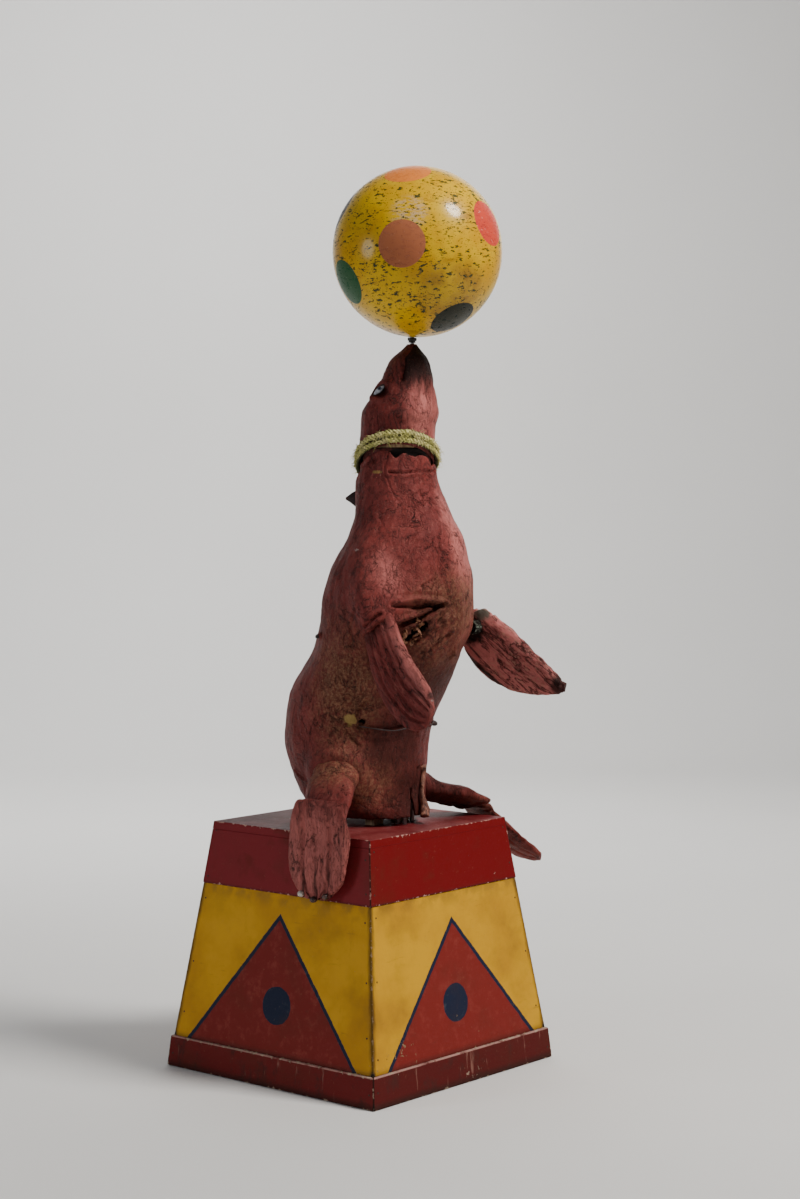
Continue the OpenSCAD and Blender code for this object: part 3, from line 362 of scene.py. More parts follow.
# Painted light: the triangles on the front pair are pulled toward a deeper, more even red than
# those on the side pair.
field = sign.mix(on_front * 0.35, field, (0.2, 0.02, 0.014))
navy = sign.mix(rubbed.over(0.56, 0.74) * 0.5, (0.009, 0.014, 0.036), (0.06, 0.062, 0.075))
panel_colour = sign.coats(yellow, (triangle, field), (outline.most(dot), navy))
seam_wave = (sign.noise(0.01, stretch=(1, 1, 0.25)) - 0.5) * 0.012
seam_dirt = (corner + seam_wave).under(0.0012, 0.011)
seam_dirt = seam_dirt * 0.75 + (sign.z - BASE_TOP).under(0.0, 0.012) * 0.45
to_edge = corner.least(abs(sign.z - BASE_TOP) * 2)
panel_gloss = old_gloss(sign, panel_colour, to_edge, (0.3, 0.2, 0.11), seam_dirt, 0.36)
eased("side_panels_painted", "side_panels", "pedestal", panel_gloss, 0.001)
eased("rear_panel_painted", "rear_panel", "pedestal", panel_gloss, 0.001)
eased("service_door_painted", "service_door", "door", panel_gloss, 0.0012)

# Nails: round wire nails that hold the boards to the corner posts, their heads
# driven just under the paint, so they show as small dark rusty dimples.
NAIL_HEAD, NAIL_SIDES = 0.0019, 10
BOARD_FACES = (  # foot and top of each face, with half the pedestal's width there
    (CAP_FOOT, 0.206, PED_TOP, CAP_HALF), (BASE_TOP, 0.2441, CAP_FOOT, 0.2045),
    (0.0, 0.254, BASE_TOP, 0.2485),
)


def two_tone(name, size, spread, tones, roughness, relief, metal=0.0, **grain):
    """A plain finish: one grain that runs from a first tone to a second."""
    f = Finish(name)
    mottle = f.noise(size, **grain)
    return f.done(
        Base_Color=f.mix(mottle.over(*spread), *tones),
        Roughness=mottle * roughness[0] + roughness[1],
        Metallic=metal,
        Normal=f.bump(mottle, relief),
    )


def half_width(z):
    """Half the pedestal's width at a height, on the outer faces of its boards."""
    for foot, wide, top, narrow in BOARD_FACES:
        if z > foot:
            return wide + (narrow - wide) * (z - foot) / (top - foot)


nail_heads = bmesh.new()
luck = np.random.default_rng(7)
for side in range(4):
    turn = Matrix.Rotation(side * math.pi / 2, 3, "Z")
    places = [(s * 0.012, z) for z in (0.1, 0.205, 0.305) for s in (-1, 1)]
    places += [(s * 0.01, z) for z in (0.03, 0.362, 0.425) for s in (-1, 1)]
    for inset, z in places:
        z += luck.normal() * 0.009
        half = half_width(z)
        at = math.copysign(half - abs(inset) - 0.002 * luck.random(), inset)
        tilt = math.atan2(half_width(z) - half_width(z + 0.001), 0.001)
        face = turn @ Matrix.Rotation(-tilt, 3, "Y")
        centre = turn @ Vector((half, at, z))
        ring, dome = [], []
        for k in range(NAIL_SIDES):
            a = math.tau * k / NAIL_SIDES
            for circle, wide, proud in ((ring, 1.0, -0.0004), (dome, 0.8, 0.0005)):
                wide *= NAIL_HEAD
                on_face = Vector((proud, math.cos(a) * wide, math.sin(a) * wide))
                circle.append(nail_heads.verts.new(centre + face @ on_face))
        for k in range(NAIL_SIDES):
            j = (k + 1) % NAIL_SIDES
            nail_heads.faces.new((ring[k], ring[j], dome[j], dome[k]))
        nail_heads.faces.new(dome)
nail_mesh = bpy.data.meshes.new("pedestal_nails")
nail_heads.to_mesh(nail_mesh)
nail_heads.free()
RUST = ((0.06, 0.028, 0.016), (0.02, 0.014, 0.012))
nail_rust = two_tone("nail_rust", 0.0012, (0.4, 0.6), RUST, (0.3, 0.5), 0.0004, metal=0.4)
as_piece("pedestal_nails", nail_mesh, "pedestal", nail_rust, smooth=False)

# Works: what the boards and the skin hide. Each CAD part keeps its own shape and takes the
# finish of its slot: sawn wood, turned steel, brass, rubber, cast iron and old enamel.
WORKS = {  # slot: darker and lighter colour, grain size and stretch, roughness, metal, relief
    "raw_wood": ((0.21, 0.11, 0.05), (0.48, 0.31, 0.16), 0.006, (1, 1, 0.1), 0.62, 0.0, 0.0008),
    "steel": ((0.12, 0.11, 0.1), (0.42, 0.41, 0.4), 0.0018, (1, 1, 0.12), 0.32, 1.0, 0.0002),
    "brass": ((0.3, 0.18, 0.06), (0.62, 0.42, 0.16), 0.0015, (1, 1, 0.25), 0.3, 1.0, 0.0002),
    "rubber": ((0.01, 0.01, 0.011), (0.055, 0.052, 0.05), 0.002, (1, 1, 1), 0.74, 0.0, 0.0004),
    "gear_iron": ((0.035, 0.033, 0.032), (0.11, 0.104, 0.098), 0.003, (1, 1, 1), 0.58, 0.5, 0.0009),
    "motor_paint": ((0.03, 0.065, 0.055), (0.075, 0.14, 0.12), 0.006, (1, 1, 1), 0.36, 0.0, 0.0004),
    "black_fitting": (
        (0.007, 0.007, 0.008), (0.06, 0.056, 0.052), 0.0024, (1, 1, 1), 0.42, 0.0, 0.0004
    ),
}
works = {}
for slot, (darker, lighter, size, stretch, rough, metal, relief) in WORKS.items():
    plain = Finish("works_" + slot)
    grain = plain.noise(size, stretch=stretch, detail=7.0, rough=0.68)
    stain = plain.noise(size * 14, detail=5.0, rough=0.62, shift=(4, 1, 6))
    dirt = plain.noise(size * 5, detail=6.0, rough=0.7, shift=(8, 3, 5)).over(0.56, 0.72)
    colour = plain.coats(
        plain.mix(grain.over(0.34, 0.66), darker, lighter),
        (stain.over(0.48, 0.74) * 0.55, darker), (dirt * 0.6, (0.03, 0.019, 0.012)),
    )
    works[slot] = plain.done(
        Base_Color=colour, Roughness=grain * 0.16 + dirt * 0.25 + (rough - 0.1),
        Metallic=(1 - dirt) * metal, Normal=plain.bump(grain + stain * 0.5, relief),
    )
for part in nodes.values():
    for place in part.material_slots:
        if place.material.name in works:
            place.material = works[place.material.name]


# Seal's body: a hollow skin of glued paper layers over wooden formers, painted deep
# pink, varnished, and since cracked, creased, torn open at the chest and rubbed brown.
NECK_Y, COLLAR_Z = -0.092, 1.118  # the neck stands upright, and the collar lies tilted on it
COLLAR_TILT, COLLAR_TURN = math.radians(28), math.radians(40.5)
SHOULDER = (0.141, -0.172, 0.808)  # middle of a front flipper's axle at its root
BODY_OUTLINE = [  # height over the pedestal, middle in Y and radius, in mm
    (15, -34, 92), (30, -18, 107), (79, -2, 121), (134, 7, 131), (190, -2, 137), (246, -26, 143),
    (303, -59, 138), (359, -86, 140), (413, -94, 137), (468, -100, 126), (522, -111, 105),
    (558, -108, 90), (594, -98, 82), (632, -93, 75), (660, -92, 72), (700, -92, 70),
]


def through(stations, steps):
    """Smooth curve through stations of any number of values."""
    p = np.array(stations, float)
    p = np.vstack((2 * p[0] - p[1], p, 2 * p[-1] - p[-2]))
    t = np.linspace(0, 1, steps, endpoint=False)[:, None]
    parts = []
    for a, b, c, d in zip(p, p[1:], p[2:], p[3:]):
        square, cube = 2 * a - 5 * b + 4 * c - d, 3 * b - a - 3 * c + d
        parts.append(0.5 * (2 * b + (c - a) * t + square * t**2 + cube * t**3))
    return np.vstack((*parts, p[-2:-1]))


def bell(distance, width, power=2):
    """1 at no distance, and down to nothing past the width."""
    return np.exp(-((distance / width) ** power))


def eased_step(share):
    """A share from 0 to 1, held to that range, that starts and ends gently."""
    share = np.clip(share, 0, 1)
    return share**2 * (3 - 2 * share)


def turn_from(turns, at):
    """Degrees from a direction, from -180 to 180."""
    return (turns - at + 180) % 360 - 180


def lumps(points, size, seed):
    """Smooth random height from -1 to 1 at each point, in lumps of that size."""
    p = np.asarray(points) / size + seed * 31.7
    cell = np.floor(p).astype(np.int64)
    part = p - cell
    part = part * part * (3 - 2 * part)
    total = 0.0
    for corner in np.ndindex(2, 2, 2):
        key = ((cell + corner) * (73856093, 19349663, 83492791)).sum(-1)
        key = (key ^ (key >> 13)) * 1274126177 & 0xFFFFFFF
        height = ((key ^ (key >> 9)) & 0xFFFF) / 32767.5 - 1
        total = total + height * np.prod(np.where(corner, part, 1 - part), -1)
    return total


def from_path(points, path):
    """Distance of each point from a line of straight stretches."""
    best = np.full(points.shape[:-1], 9.0)
    for a, b in zip(path, path[1:]):
        a, d = np.array(a), np.array(b) - np.array(a)
        t = np.clip(((points - a) @ d) / (d @ d), 0, 1)
        best = np.minimum(best, np.linalg.norm(points - a - t[..., None] * d, axis=-1))
    return best


def outward(rings):
    """Unit normals of a sheet of rings that close on themselves."""
    along = np.gradient(rings, axis=0)
    around = np.roll(rings, -1, 1) - np.roll(rings, 1, 1)
    n = np.cross(around, along)
    return n / np.maximum(np.linalg.norm(n, axis=-1, keepdims=True), 1e-9)


OPEN, BOTH = (False, False), (True, True)


def ringed_piece(name, rings, body, finish, node=None, keep=None, ends=OPEN, wall=0.0):
    """A mesh of rings, capped or with an inner wall if asked, that may stand for a node."""
    rows, columns = rings.shape[:2]
    i, j = np.meshgrid(np.arange(rows - 1), np.arange(columns), indexing="ij")
    k = (j + 1) % columns
    this, above = i * columns, (i + 1) * columns
    quads = np.stack((this + j, this + k, above + k, above + j), -1)
    faces = (quads.reshape(-1, 4) if keep is None else quads[keep]).tolist()
    points = rings.reshape(-1, 3).tolist()
    for end, row in zip(ends, (0, rows - 1)):
        if end:
            points.append(rings[row].mean(0).tolist())
            for c in range(columns):
                pair = (row * columns + c, row * columns + (c + 1) % columns)
                faces.append((*(pair[::-1] if row == 0 else pair), len(points) - 1))
    mesh = bpy.data.meshes.new(name)
    mesh.from_pydata(points, [], faces)
    piece = as_piece(name, mesh, body, finish)
    if wall:
        thick = piece.modifiers.new("paper_wall", "SOLIDIFY")
        thick.thickness, thick.offset = wall, -1
    if node:
        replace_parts(piece, node)
    return piece


def near_to(f, at, size, soft, grit=0.02, wild=0.9):
    """1 within an oval round a place, 0 beyond it, with a ragged soft edge between."""
    away = f.vector("DIVIDE", f.vector("SUBTRACT", f.place, at), size)
    reach = f.vector("LENGTH", away, out="Value")
    return (reach + (f.noise(grit, detail=6.0, rough=0.65) - 0.5) * wild).under(1 - soft, 1 + soft)


def paper_hide(f, pale, dark, rubbed=None, grain=(1, 1, 0.7), dark_tone=(0.01, 0.003, 0.002)):
    """Old varnished paint on papier mache: red-pink, wrinkled, mottled and rubbed brown; pale lays
    a lighter pink, mostly painted highlight, and dark lays a near-black red, mostly painted shade.
    """
    cloud = f.noise(0.1, detail=5.0, rough=0.6)
    blotch = f.noise(0.03, stretch=grain, detail=8.0, rough=0.68, shift=(3, 6, 1))
    mottle = f.noise(0.0085, stretch=grain, detail=8.0, rough=0.78, shift=(1, 2, 9))
    fine = f.noise(0.0024, detail=4.0, rough=0.72, shift=(6, 3, 3))
    crease = f.noise(0.034, stretch=grain, detail=6.0, rough=0.6, shift=(5, 1, 2), bend=0.5)
    crinkle = f.noise(0.012, stretch=grain, detail=5.0, rough=0.62, shift=(2, 9, 5), bend=0.4)
    where = f.noise(0.06, detail=4.0, rough=0.6, shift=(7, 7, 2))
    furrow = abs(crease - 0.5).under(0.0, 0.04)
    wrinkle = abs(crinkle - 0.5).under(0.0, 0.05) * where.over(0.36, 0.6)
    thread = abs(crease - 0.5).under(0.001, 0.009) * where.over(0.4, 0.54)
    along = tuple(0.24 if g == min(grain) else 1 for g in grain)
    hairs = f.noise(0.0085, stretch=along, detail=3.0, rough=0.5, shift=(8, 2, 4), bend=0.4)
    thread = thread.most(abs(hairs - 0.5).under(0.001, 0.012) * blotch.over(0.46, 0.56) * 0.85)
    thread = thread.most(abs(crinkle - 0.5).under(0.001, 0.011) * where.under(0.36, 0.48) * 0.8)
    base = f.coats(
        f.mix(cloud.over(0.36, 0.64), (0.15, 0.021, 0.018), (0.215, 0.038, 0.032)),
        (blotch.over(0.5, 0.7) * 0.55, (0.085, 0.011, 0.009)),
        (mottle.over(0.54, 0.68) * 0.62, (0.33, 0.102, 0.08)),
        (mottle.under(0.34, 0.47) * 0.62, (0.04, 0.008, 0.006)),
        # pale: lighter pink, which the callers mostly use as painted highlight
        ((pale * (mottle * 1.5 + blotch * 0.3 - 0.05)).least(0.85), (0.5, 0.15, 0.13)),
    )
    rough = mottle * 0.42 + fine * 0.22 + blotch * 0.12 + dark * 0.12 + 0.15
    if rubbed:
        grit = f.noise(0.006, detail=8.0, rough=0.82, shift=(2, 5, 5))
        tan = f.mix(grit.over(0.4, 0.6), (0.075, 0.026, 0.012), (0.255, 0.115, 0.062))
        share = blotch.under(0.4, 0.66) * 0.4 + grit.over(0.34, 0.56) * 0.7
        base = f.mix((rubbed * share).least(0.85), base, tan)
        rough = rough + rubbed * 0.1
    lint = f.cells(0.0085, shift=(4, 2, 2)).under(0.05, 0.09)
    lint = lint * f.noise(0.05, shift=(3, 3, 3)).over(0.56, 0.64)
    base = f.coats(
        base,
        (wrinkle * 0.34, (0.03, 0.006, 0.005)),
        (furrow * 0.26, (0.03, 0.006, 0.005)),
        # dark: near-black red, which the callers mostly use as painted shade
        (dark * 0.94, dark_tone),
        (thread * 0.9, (0.014, 0.004, 0.003)),
        (fine.over(0.56, 0.74) * 0.3, (0.4, 0.2, 0.16)),
        (lint * 0.6, (0.5, 0.38, 0.3)),
    )
    height = blotch * 0.8 + mottle * 0.62 + fine * 0.2 + cloud * 0.4
    height = height - furrow * 0.26 - wrinkle * 0.22 - thread * 0.3
    normal = f.bump(height, 0.0025)
    return f.done(Base_Color=base, Roughness=rough, Normal=normal, Specular_IOR_Level=0.16)


def over_paint(f, *layers):
    """Dabs of other paint over a finish that is already done."""
    under = Wire(f, f.surface.inputs["Base Color"].links[0].from_socket)
    f.done(Base_Color=f.coats(under, *layers))


def tilted_plane(x, y, drop):
    """Height of the rope collar's plane, lowered by a drop, over a place in the plan."""
    lean = x * math.cos(COLLAR_TURN) + (y - NECK_Y) * math.sin(COLLAR_TURN)
    return COLLAR_Z - lean * math.tan(COLLAR_TILT) - drop / math.cos(COLLAR_TILT)


body_curve = through(BODY_OUTLINE, 12) * 0.001


def on_body(rise, angle, lift=0.0):
    """Place on the body's skin at a height in mm over the pedestal and an angle from +X."""
    z = rise * 0.001
    r = np.interp(z, body_curve[:, 0], body_curve[:, 2]) + lift
    a = math.radians(angle)
    centre = np.interp(z, body_curve[:, 0], body_curve[:, 1])
    return np.array((r * math.cos(a), centre + r * math.sin(a), PED_TOP + z))


def body_line(*places):
    """A smooth line on the skin through places given as height and angle."""
    return [on_body(*p) for p in through(places, 6)]


BODY_COLUMNS, BODY_ROWS, RIM_R = 288, 230, 0.071
angle = np.linspace(0, math.tau, BODY_COLUMNS, endpoint=False)
degrees = (np.degrees(angle) + 180) % 360 - 180
rim_gap = 1.3 * bell(degrees + 142, 8) + 0.95 * bell(degrees + 118, 17)
rim_gap += 0.9 * bell(degrees + 79, 7)
on_ring = np.stack((np.cos(angle), np.sin(angle), 0 * angle), -1)
drop = 0.0195 + 0.0105 * rim_gap + 0.0016 * lumps(on_ring, 0.09, 3)
rim = tilted_plane(RIM_R * np.cos(angle), NECK_Y + RIM_R * np.sin(angle), drop) - PED_TOP
slit_notch = bell(degrees + 87, 3.2)
hem = 0.0152 + 0.0022 * lumps(on_ring, 0.16, 8) + 0.055 * slit_notch
share = np.linspace(0, 1, BODY_ROWS)[:, None]
rise = hem + (rim - hem) * share
radius = np.interp(rise, body_curve[:, 0], body_curve[:, 2])
centre = np.interp(rise, body_curve[:, 0], body_curve[:, 1])
# the rim draws in at the back near side, where the rope dips past it as the head turns
under_rope = eased_step((rise - rim + 0.021) / 0.009)
radius = radius - 0.0072 * under_rope * eased_step((62 - np.abs(turn_from(degrees, 135))) / 12)
torso = np.stack((radius * np.cos(angle), centre + radius * np.sin(angle), PED_TOP + rise), -1)
normal = outward(torso)


def swell(at_rise, at_angle, tall, wide):
    """Soft bump on the skin, from 0 to 1."""
    return bell(rise - at_rise * 0.001, tall * 0.001) * bell(turn_from(degrees, at_angle), wide)


relief = 0.003 * lumps(torso, 0.085, 1) + 0.0016 * lumps(torso, 0.034, 2)
relief += 0.0009 * lumps(torso * (1, 1, 0.35), 0.012, 3)
relief += 0.0005 * lumps(torso * (1, 1, 0.5), 0.006, 4)
# shoulders, hips and the hollow under the chest
relief += 0.008 * swell(432, -165, 52, 26) + 0.01 * swell(425, -22, 55, 24)
# the upper arm: a swelling over the root of the near flipper, cut clear round its disc
ARM_LINE = [(-0.104, -0.13, 0.935), (-0.12, -0.148, 0.886), (-0.126, -0.164, 0.84)]
high = torso[..., 2]
ahead, above = SHOULDER[1] - torso[..., 1], high - SHOULDER[2]
over = np.clip((np.degrees(np.arctan2(above, ahead)) % 360 - 38) / 30, 0, 1)
clear = (np.hypot(ahead, above) - 0.046 + 0.036 * over) / (0.009 + 0.008 * over)
arm = 0.02 + 0.014 * np.clip((0.88 - high) / 0.045, 0, 1)
arm -= 0.012 * np.clip((high - 0.87) / 0.07, 0, 1)
arm *= eased_step(clear) * (torso[..., 0] < 0)
relief += arm * bell(from_path(torso, ARM_LINE), 0.04, 3)
relief += 0.007 * swell(330, -168, 60, 22) - 0.01 * swell(322, -138, 34, 13)
ANKLE_LINE = [(-0.098, -0.038, 0.553), (-0.132, -0.055, 0.542), (-0.166, -0.074, 0.522)]
relief += 0.013 * bell(np.maximum(from_path(torso, ANKLE_LINE) - 0.042, 0), 0.017)
relief += 0.008 * swell(120, -150, 60, 30) - 0.007 * swell(170, -118, 26, 30)
relief += 0.006 * swell(425, -122, 18, 24)
folds = torso @ np.array(((0.6, 0.3, 0.74), (0.5, 0.6, -0.62), (0.62, -0.74, -0.24)))
folds = lumps(folds * (2.2, 1.0, 1.0), 0.034, 11) + 0.5 * lumps(folds * (2.0, 1.0, 1.0), 0.017, 12)
relief += 0.005 * swell(376, -116, 40, 27) * (1 - 2.2 * np.abs(folds))
relief += 0.006 * swell(300, -92, 40, 30) - 0.006 * swell(60, -100, 30, 26)
marks = [  # lines on the skin as height in mm and angle, then half width and depth
    (body_line((411, -141), (415, -132), (416, -123), (411, -106), (406, -98)), 0.0042, -0.006),
    (body_line((405, -141), (402, -133), (401, -126), (404, -114), (402, -106)), 0.0034, 0.0085),
    (body_line((372, -135), (382, -123), (394, -113), (407, -105)), 0.0032, 0.011),
    (body_line((380, -137), (391, -124), (400, -117)), 0.0036, -0.005),
    (body_line((336, -124), (354, -114), (379, -105), (392, -99)), 0.0034, 0.006),
    (body_line((346, -118), (366, -109), (384, -101)), 0.004, -0.004),
    (body_line((320, -108), (342, -101), (357, -92)), 0.0034, 0.0045),
    (body_line((372, -158), (381, -154), (392, -149)), 0.0022, 0.0075),
    (body_line((352, -159), (361, -154), (370, -150)), 0.0022, 0.0065),
    (body_line((438, -123), (446, -116), (452, -110)), 0.0018, 0.0036),
    (body_line((500, -104), (470, -107), (440, -102), (424, -100)), 0.003, 0.003),
    (body_line((330, -168), (350, -170), (374, -172), (398, -166)), 0.003, 0.0028),
    (body_line((302, -150), (316, -152), (330, -155)), 0.0026, 0.003),
    (body_line((639, -150), (638, -128), (641, -100), (642, -70)), 0.0022, 0.0042),
    (body_line((680, -151), (664, -153), (647, -157), (618, -151), (589, -143)), 0.0016, 0.0014),
    (body_line((560, -168), (540, -162), (512, -150), (481, -142)), 0.0016, 0.001),
    (body_line((520, -128), (500, -131), (478, -136)), 0.0015, 0.0018),
    (
        body_line((190, -150), (181, -128), (177, -112), (183, -97), (178, -78), (180, -50)),
        0.0026, 0.0048,
    ),
    (body_line((176, -148), (160, -142), (148, -136)), 0.003, 0.0036),
    (body_line((232, -140), (205, -143), (188, -139), (172, -132)), 0.0034, 0.004),
    (body_line((100, -79), (70, -81), (40, -86), (18, -90)), 0.0036, 0.006),
    (body_line((96, 152), (88, 158), (84, 166)), 0.0022, 0.005),
    (body_line((452, -40), (430, -30), (404, -28)), 0.0024, 0.003),
    (body_line((560, 40), (470, 60), (380, 92), (250, 88), (120, 94)), 0.0018, 0.0022),
]
for line, width, depth in marks:
    d = from_path(torso, line)
    relief -= depth * bell(d, width)
    relief += 0.35 * depth * bell(d - 1.9 * width, width)
for at, size, height in (
    ((359, -93), 0.0052, 0.009), ((318, -84), 0.005, 0.008), ((346, 148), 0.0046, 0.009),
):
    relief += height * bell(np.linalg.norm(torso - on_body(*at), axis=-1), size)
torso += normal * relief[..., None]

middle = 0.25 * (torso[:-1] + torso[1:] + np.roll(torso[:-1], -1, 1) + np.roll(torso[1:], -1, 1))
tattered = 0.004 * lumps(middle, 0.011, 9)
chest_line = body_line((344, -128), (358, -124), (370, -119))
tear_hole = from_path(middle, chest_line) + tattered < 0.0072
from_waist = np.linalg.norm((middle - on_body(190, -138)) * (1, 1, 0.8), axis=-1)
whole = ~(tear_hole | (from_waist + tattered < 0.0075))

hide = Finish("seal_hide")
back_rub = near_to(hide, (-0.121, -0.08, 0.7), (0.055, 0.062, 0.11), 0.7)
belly_rub = near_to(hide, (-0.01, -0.165, 0.8), (0.095, 0.07, 0.085), 0.6)
foot_rub = near_to(hide, (-0.085, -0.095, 0.535), (0.06, 0.06, 0.045), 0.6) * 0.7
chest_rub = near_to(hide, (0.015, -0.215, 0.85), (0.095, 0.06, 0.055), 0.7) * 0.85
far_rub = near_to(hide, (0.11, 0.02, 0.64), (0.07, 0.09, 0.12), 0.6)
# Painted highlights: lighter pink on the front of the neck and on the shoulder ridge, where the
# light catches.
neck_highlight = near_to(hide, (0.038, -0.205, 0.95), (0.042, 0.05, 0.15), 0.4)
shoulder_highlight = near_to(hide, (-0.115, -0.158, 0.895), (0.022, 0.028, 0.05), 0.7)
# Painted shade: darker on the chest, in the groin, on the low belly, under the near arm and in the
# chest fold.
chest_dark = near_to(hide, (-0.01, -0.225, 0.85), (0.06, 0.05, 0.04), 0.8) * 0.4
groin = near_to(hide, (-0.045, -0.135, 0.6), (0.08, 0.06, 0.056), 0.45) * 0.88
low_belly = near_to(hide, (0.0, -0.165, 0.69), (0.085, 0.06, 0.09), 0.7) * 0.8
under_arm = near_to(hide, (-0.1, -0.15, 0.765), (0.024, 0.05, 0.045), 0.6) * 0.6
fold_shade = near_to(hide, (-0.045, -0.214, 0.85), (0.05, 0.03, 0.008), 0.6) * 0.55
# Darker round the chest tear.
tear_darker = near_to(hide, tuple(on_body(362, -121)), (0.018, 0.025, 0.016), 0.5) * 0.7
# Painted shade at the front foot, where the body meets the pedestal.
front_foot = near_to(hide, (0.01, -0.128, 0.51), (0.06, 0.04, 0.075), 0.6) * 0.84
# Darker towards the hem.
hem_darker = hide.z.under(0.468, 0.49) * 0.6
chips = near_to(hide, tuple(on_body(197, -147)), (0.01, 0.012, 0.012), 0.2, 0.01, 1.5)
smear = near_to(hide, tuple(on_body(640, -168)), (0.008, 0.01, 0.003), 0.35, 0.005, 1.6)
dab = near_to(hide, tuple(on_body(501, 177)), (0.006, 0.01, 0.003), 0.15, 0.004, 2.0)
# All the painted shade above, in one mask.
painted_shade = chest_dark.most(groin).most(low_belly).most(under_arm).most(fold_shade)
seal_hide = paper_hide(
    hide,
    pale=neck_highlight.most(shoulder_highlight * 0.9),
    dark=painted_shade.most(tear_darker).most(front_foot).most(hem_darker),
    rubbed=back_rub.most(belly_rub * 0.8).most(foot_rub).most(chest_rub).most(far_rub * 0.8),
    dark_tone=(0.028, 0.004, 0.002),
)
over_paint(
    hide,
    (chips, (0.32, 0.21, 0.07)), (smear * 0.5, (0.4, 0.28, 0.08)), (dab * 0.7, (0.45, 0.42, 0.38)),
)
ringed_piece(
    "body_skin", torso, "pedestal", seal_hide, "torso_skin", keep=whole, wall=0.0036
)

# The tuck: the top of the body skin runs on as a narrower collar inside the neck, which
# the head's skirt slides round. Only the part behind the torn rim shows, and there it is painted
# shade, near black.
TUCK_R, TUCK_FOOT, TUCK_TOP, TUCK_WALL = 0.062, 1.07, 1.1345, 0.0038
tuck_angle = np.linspace(0, math.tau, 96, endpoint=False)
tuck_x, tuck_y = TUCK_R * np.cos(tuck_angle), TUCK_R * np.sin(tuck_angle) + NECK_Y
tuck_top = np.minimum(tilted_plane(tuck_x, tuck_y, 0.002), TUCK_TOP)
tuck_z = TUCK_FOOT + (tuck_top - TUCK_FOOT) * np.linspace(0, 1, 20)[:, None]
tuck = np.stack((tuck_x + 0 * tuck_z, tuck_y + 0 * tuck_z, tuck_z), -1)
tuck += outward(tuck) * (0.0005 * lumps(tuck, 0.014, 5))[..., None]
tuck_finish = Finish("tuck_paper_with_painted_shade")
tuck_layers = tuck_finish.noise(0.006, stretch=(1, 1, 3), detail=6.0, rough=0.7)
# Painted shade: near black where the tuck shows through the torn rim.
torn_open = near_to(tuck_finish, (-0.027, -0.148, 1.085), (0.048, 0.042, 0.07), 0.12)
tuck_paper_with_painted_shade = tuck_finish.done(
    Base_Color=tuck_finish.mix(
        torn_open,
        tuck_finish.mix(tuck_layers.over(0.4, 0.65), (0.075, 0.012, 0.01), (0.26, 0.06, 0.048)),
        tuck_finish.mix(tuck_layers.over(0.4, 0.7), (0.004, 0.003, 0.002), (0.03, 0.012, 0.008)),
    ),
    Roughness=tuck_layers * 0.2 + 0.7,
    Normal=tuck_finish.bump(tuck_layers, 0.0012),
)
ringed_piece("neck_tuck", tuck, "pedestal", tuck_paper_with_painted_shade, "torso_skin", wall=TUCK_WALL)

# Bits that hang on the body: the tarred cord nailed round the waist, the knobs where it is
# tied off, the peeled strip of skin at the front of the hem and the tab at the nape.
def tube(path, radii, sides):
    """Rings round a path, of one radius or one for each point."""
    path = np.asarray(path)
    along = np.gradient(path, axis=0)
    along /= np.linalg.norm(along, axis=-1, keepdims=True)
    up = np.array((0.13, 0.21, 0.97))
    if abs(along[0] @ up) > 0.9:
        up = np.array((0.97, 0.13, 0.21))
    across = []
    for t in along:
        up = up - t * (t @ up)
        up = up / np.linalg.norm(up)
        across.append(up)
    across = np.array(across)
    out = np.cross(along, across)
    turn = np.linspace(0, math.tau, sides, endpoint=False)
    r = np.broadcast_to(radii, (len(path),))[:, None]
    c, s = (r * np.cos(turn))[..., None], (r * np.sin(turn))[..., None]
    return path[:, None] + across[:, None] * c + out[:, None] * s


def many_tubes(name, tubes, body, finish):
    """One piece of many tubes with closed ends."""
    points, faces = [], []
    for rings in tubes:
        rows, columns = rings.shape[:2]
        first = len(points)
        points += rings.reshape(-1, 3).tolist()
        for i in range(rows - 1):
            for j in range(columns):
                k = (j + 1) % columns
                a, b = first + i * columns, first + (i + 1) * columns
                faces.append((a + j, b + j, b + k, a + k))
        faces.append([first + j for j in range(columns)])
        faces.append([first + (rows - 1) * columns + j for j in range(columns)][::-1])
    mesh = bpy.data.meshes.new(name)
    mesh.from_pydata(points, [], faces)
    return as_piece(name, mesh, body, finish)


TAR = ((0.016, 0.006, 0.005), (0.09, 0.03, 0.02))
tarred_paper = two_tone(
    "tarred_paper", 0.004, (0.45, 0.75), TAR, (0.35, 0.42), 0.0014, detail=6.0, rough=0.7
)
WAIST = (
    (186, -139), (179, -122), (176, -110), (180, -98), (186, -88), (184, -74), (178, -62),
    (182, -50),
)
waist_path = [on_body(*p, lift=0.0006) for p in through(WAIST, 8)]
waist_cord = tube(waist_path, 0.0011 + 0.0004 * lumps(np.array(waist_path), 0.01, 2), 8)
KNOBS = ((178, -48, 0.0065), (346, 148, 0.005), (359, -93, 0.004), (318, -84, 0.0036))
knobs = []
for rise_mm, turn_deg, size in KNOBS:
    root, tip = on_body(rise_mm, turn_deg, -0.003), on_body(rise_mm, turn_deg, size * 1.3)
    steps = np.linspace(0, 1, 9)
    knob_path = root + (tip - root) * steps[:, None] + (0, 0, -0.004) * (steps[:, None] ** 2)
    knob_r = size * np.sqrt(np.clip(1.02 - steps**2.6, 0.02, 1)) * (0.75 + 0.25 * steps)
    knobs.append(tube(knob_path, knob_r, 12))
many_tubes("waist_cord", [waist_cord, *knobs], "pedestal", tarred_paper)

